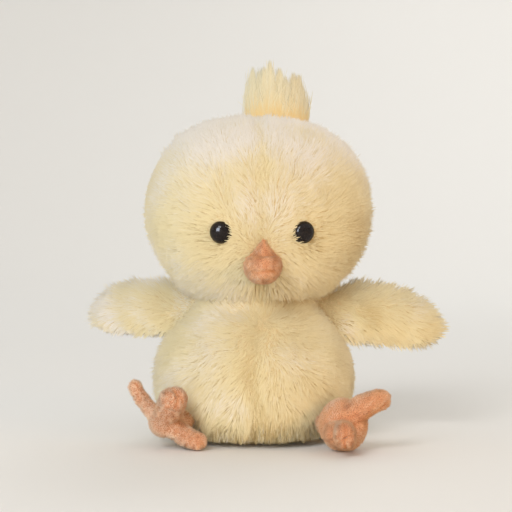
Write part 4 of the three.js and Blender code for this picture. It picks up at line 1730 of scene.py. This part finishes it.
def makeTuft():
    draw = np.random.default_rng(201)
    count = tuft["strands"]
    crown = head["middle"] + head["rise"]
    locks = np.array(tuft["locks"])
    lock = locks[draw.choice(len(locks), count, p=locks[:, 3] / locks[:, 3].sum())]
    long = draw.uniform(*tuft["lengths"], count) ** 0.75  # the longest strands meet in the lock's point
    loose = (1.15 - long)[:, None]
    across = lock[:, 0] * 0.92 * mm + draw.normal(0, tuft["rootSpread"], count)
    across = np.clip(across, -tuft["width"] / 2, tuft["width"] / 2)
    deep = np.sqrt(1 - (1.7 * across / tuft["width"]) ** 2) * tuft["rootHalfDepth"]
    depth = draw.uniform(-1, 1, count) * deep
    fall = (across / (0.5 * tuft["width"])) ** 2 * tuft["rootFall"]
    roots = np.stack([tuft["offset"] + across, depth, crown - tuft["rootDrop"] - fall], 1)
    tips = np.stack([
        tuft["offset"] + lock[:, 0] * mm,
        lock[:, 2] * mm + depth * 0.15,
        crown + lock[:, 1] * mm * long,
    ], 1) + draw.normal(0, 1, (count, 3)) * loose * np.array(tuft["tipSpread"])
    stray = draw.random(count) < tuft["strayShare"]
    tips[stray] += draw.normal(0, 1, (stray.sum(), 3)) * np.array(tuft["straySpread"])
    bends = roots * 0.45 + tips * 0.55
    bends[:, 0] += across * 0.16 + draw.normal(0, 0.7 * mm, count)
    bends[:, 1] += depth * 0.45
    bends[:, 2] += 1.5 * mm
    ways = [across / tuft["width"] * 1.6, depth / tuft["rootHalfDepth"] * 0.6 - 0.45, np.full(count, 0.55)]
    normals = unit(np.stack(ways, 1))
    turned = [points @ headTurnBack.T for points in (roots, bends, tips, normals)]
    tone = 0.55 + draw.normal(0, 0.13, count)
    width = tuft["halfWidth"] * draw.uniform(0.7, 1.25, count)
    soften = unit(turned[3] + np.array([0, 0, tuft["upwards"]]))
    piece = plantStrands("crest", lockStrand, *turned[:3], width, tone, soften, draw)
    finishPiece(piece, "head", looks["tuftPile"])
    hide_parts("tuft")


makeTuft()
print("crest made")


# What is inside: stuffing, pellet bag, washers and thread
def makeStuffing():
    inner = {
        "body": ["body_stuffing", "pellet_bag"],
        "neck": ["neck_stuffing"],
        "head": ["head_stuffing", "beak_stuffing"],
        "wing_left": ["wing_left_stuffing"],
        "wing_right": ["wing_right_stuffing"],
    }
    for name, nodes in inner.items():
        for node in nodes:
            bag = node == "pellet_bag"
            piece = copyOf(frame["nodes"][node], "pellet_pouch" if bag else node.replace("stuffing", "fill"))
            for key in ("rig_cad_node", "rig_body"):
                if key in piece:
                    del piece[key]
            piece.parent = None
            startEdit(piece)
            bpy.ops.mesh.remove_doubles(threshold=0.01 * mm)
            bpy.ops.mesh.tris_convert_to_quads()
            endEdit()
            applyModifier(piece, "SUBSURF", levels=1, render_levels=1)
            if node == "beak_stuffing":
                setBackFill(piece)
            workOn(piece)
            bpy.ops.object.shade_smooth()
            finishPiece(piece, name, looks["pelletBag" if bag else "fibre"])
            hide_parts(node)


# The beak's filling keeps behind its upper panel
def setBackFill(piece):
    places = inHead(coordinatesOf(piece))
    above = smooth(places[:, 2], head["middle"] - beak["foldDrop"] - 3 * mm, head["middle"] - beak["foldDrop"])
    outside = smooth(-places[:, 1], head["halfDepth"] - 8 * mm, head["halfDepth"] - 2 * mm)
    for vertex, share in zip(piece.data.vertices, above * outside):
        vertex.co += headTurn.to_3x3() @ Vector((0, share * beak["setBack"] * 1.15, 0))


def dressNodes():
    for name, look in (("eye_washer_left", "washer"), ("eye_washer_right", "washer"), ("neck_thread", "thread")):
        node = frame["nodes"][name]
        node.data.materials.clear()
        node.data.materials.append(looks[look])


makeStuffing()
dressNodes()
print("inside made")

clearSelection()
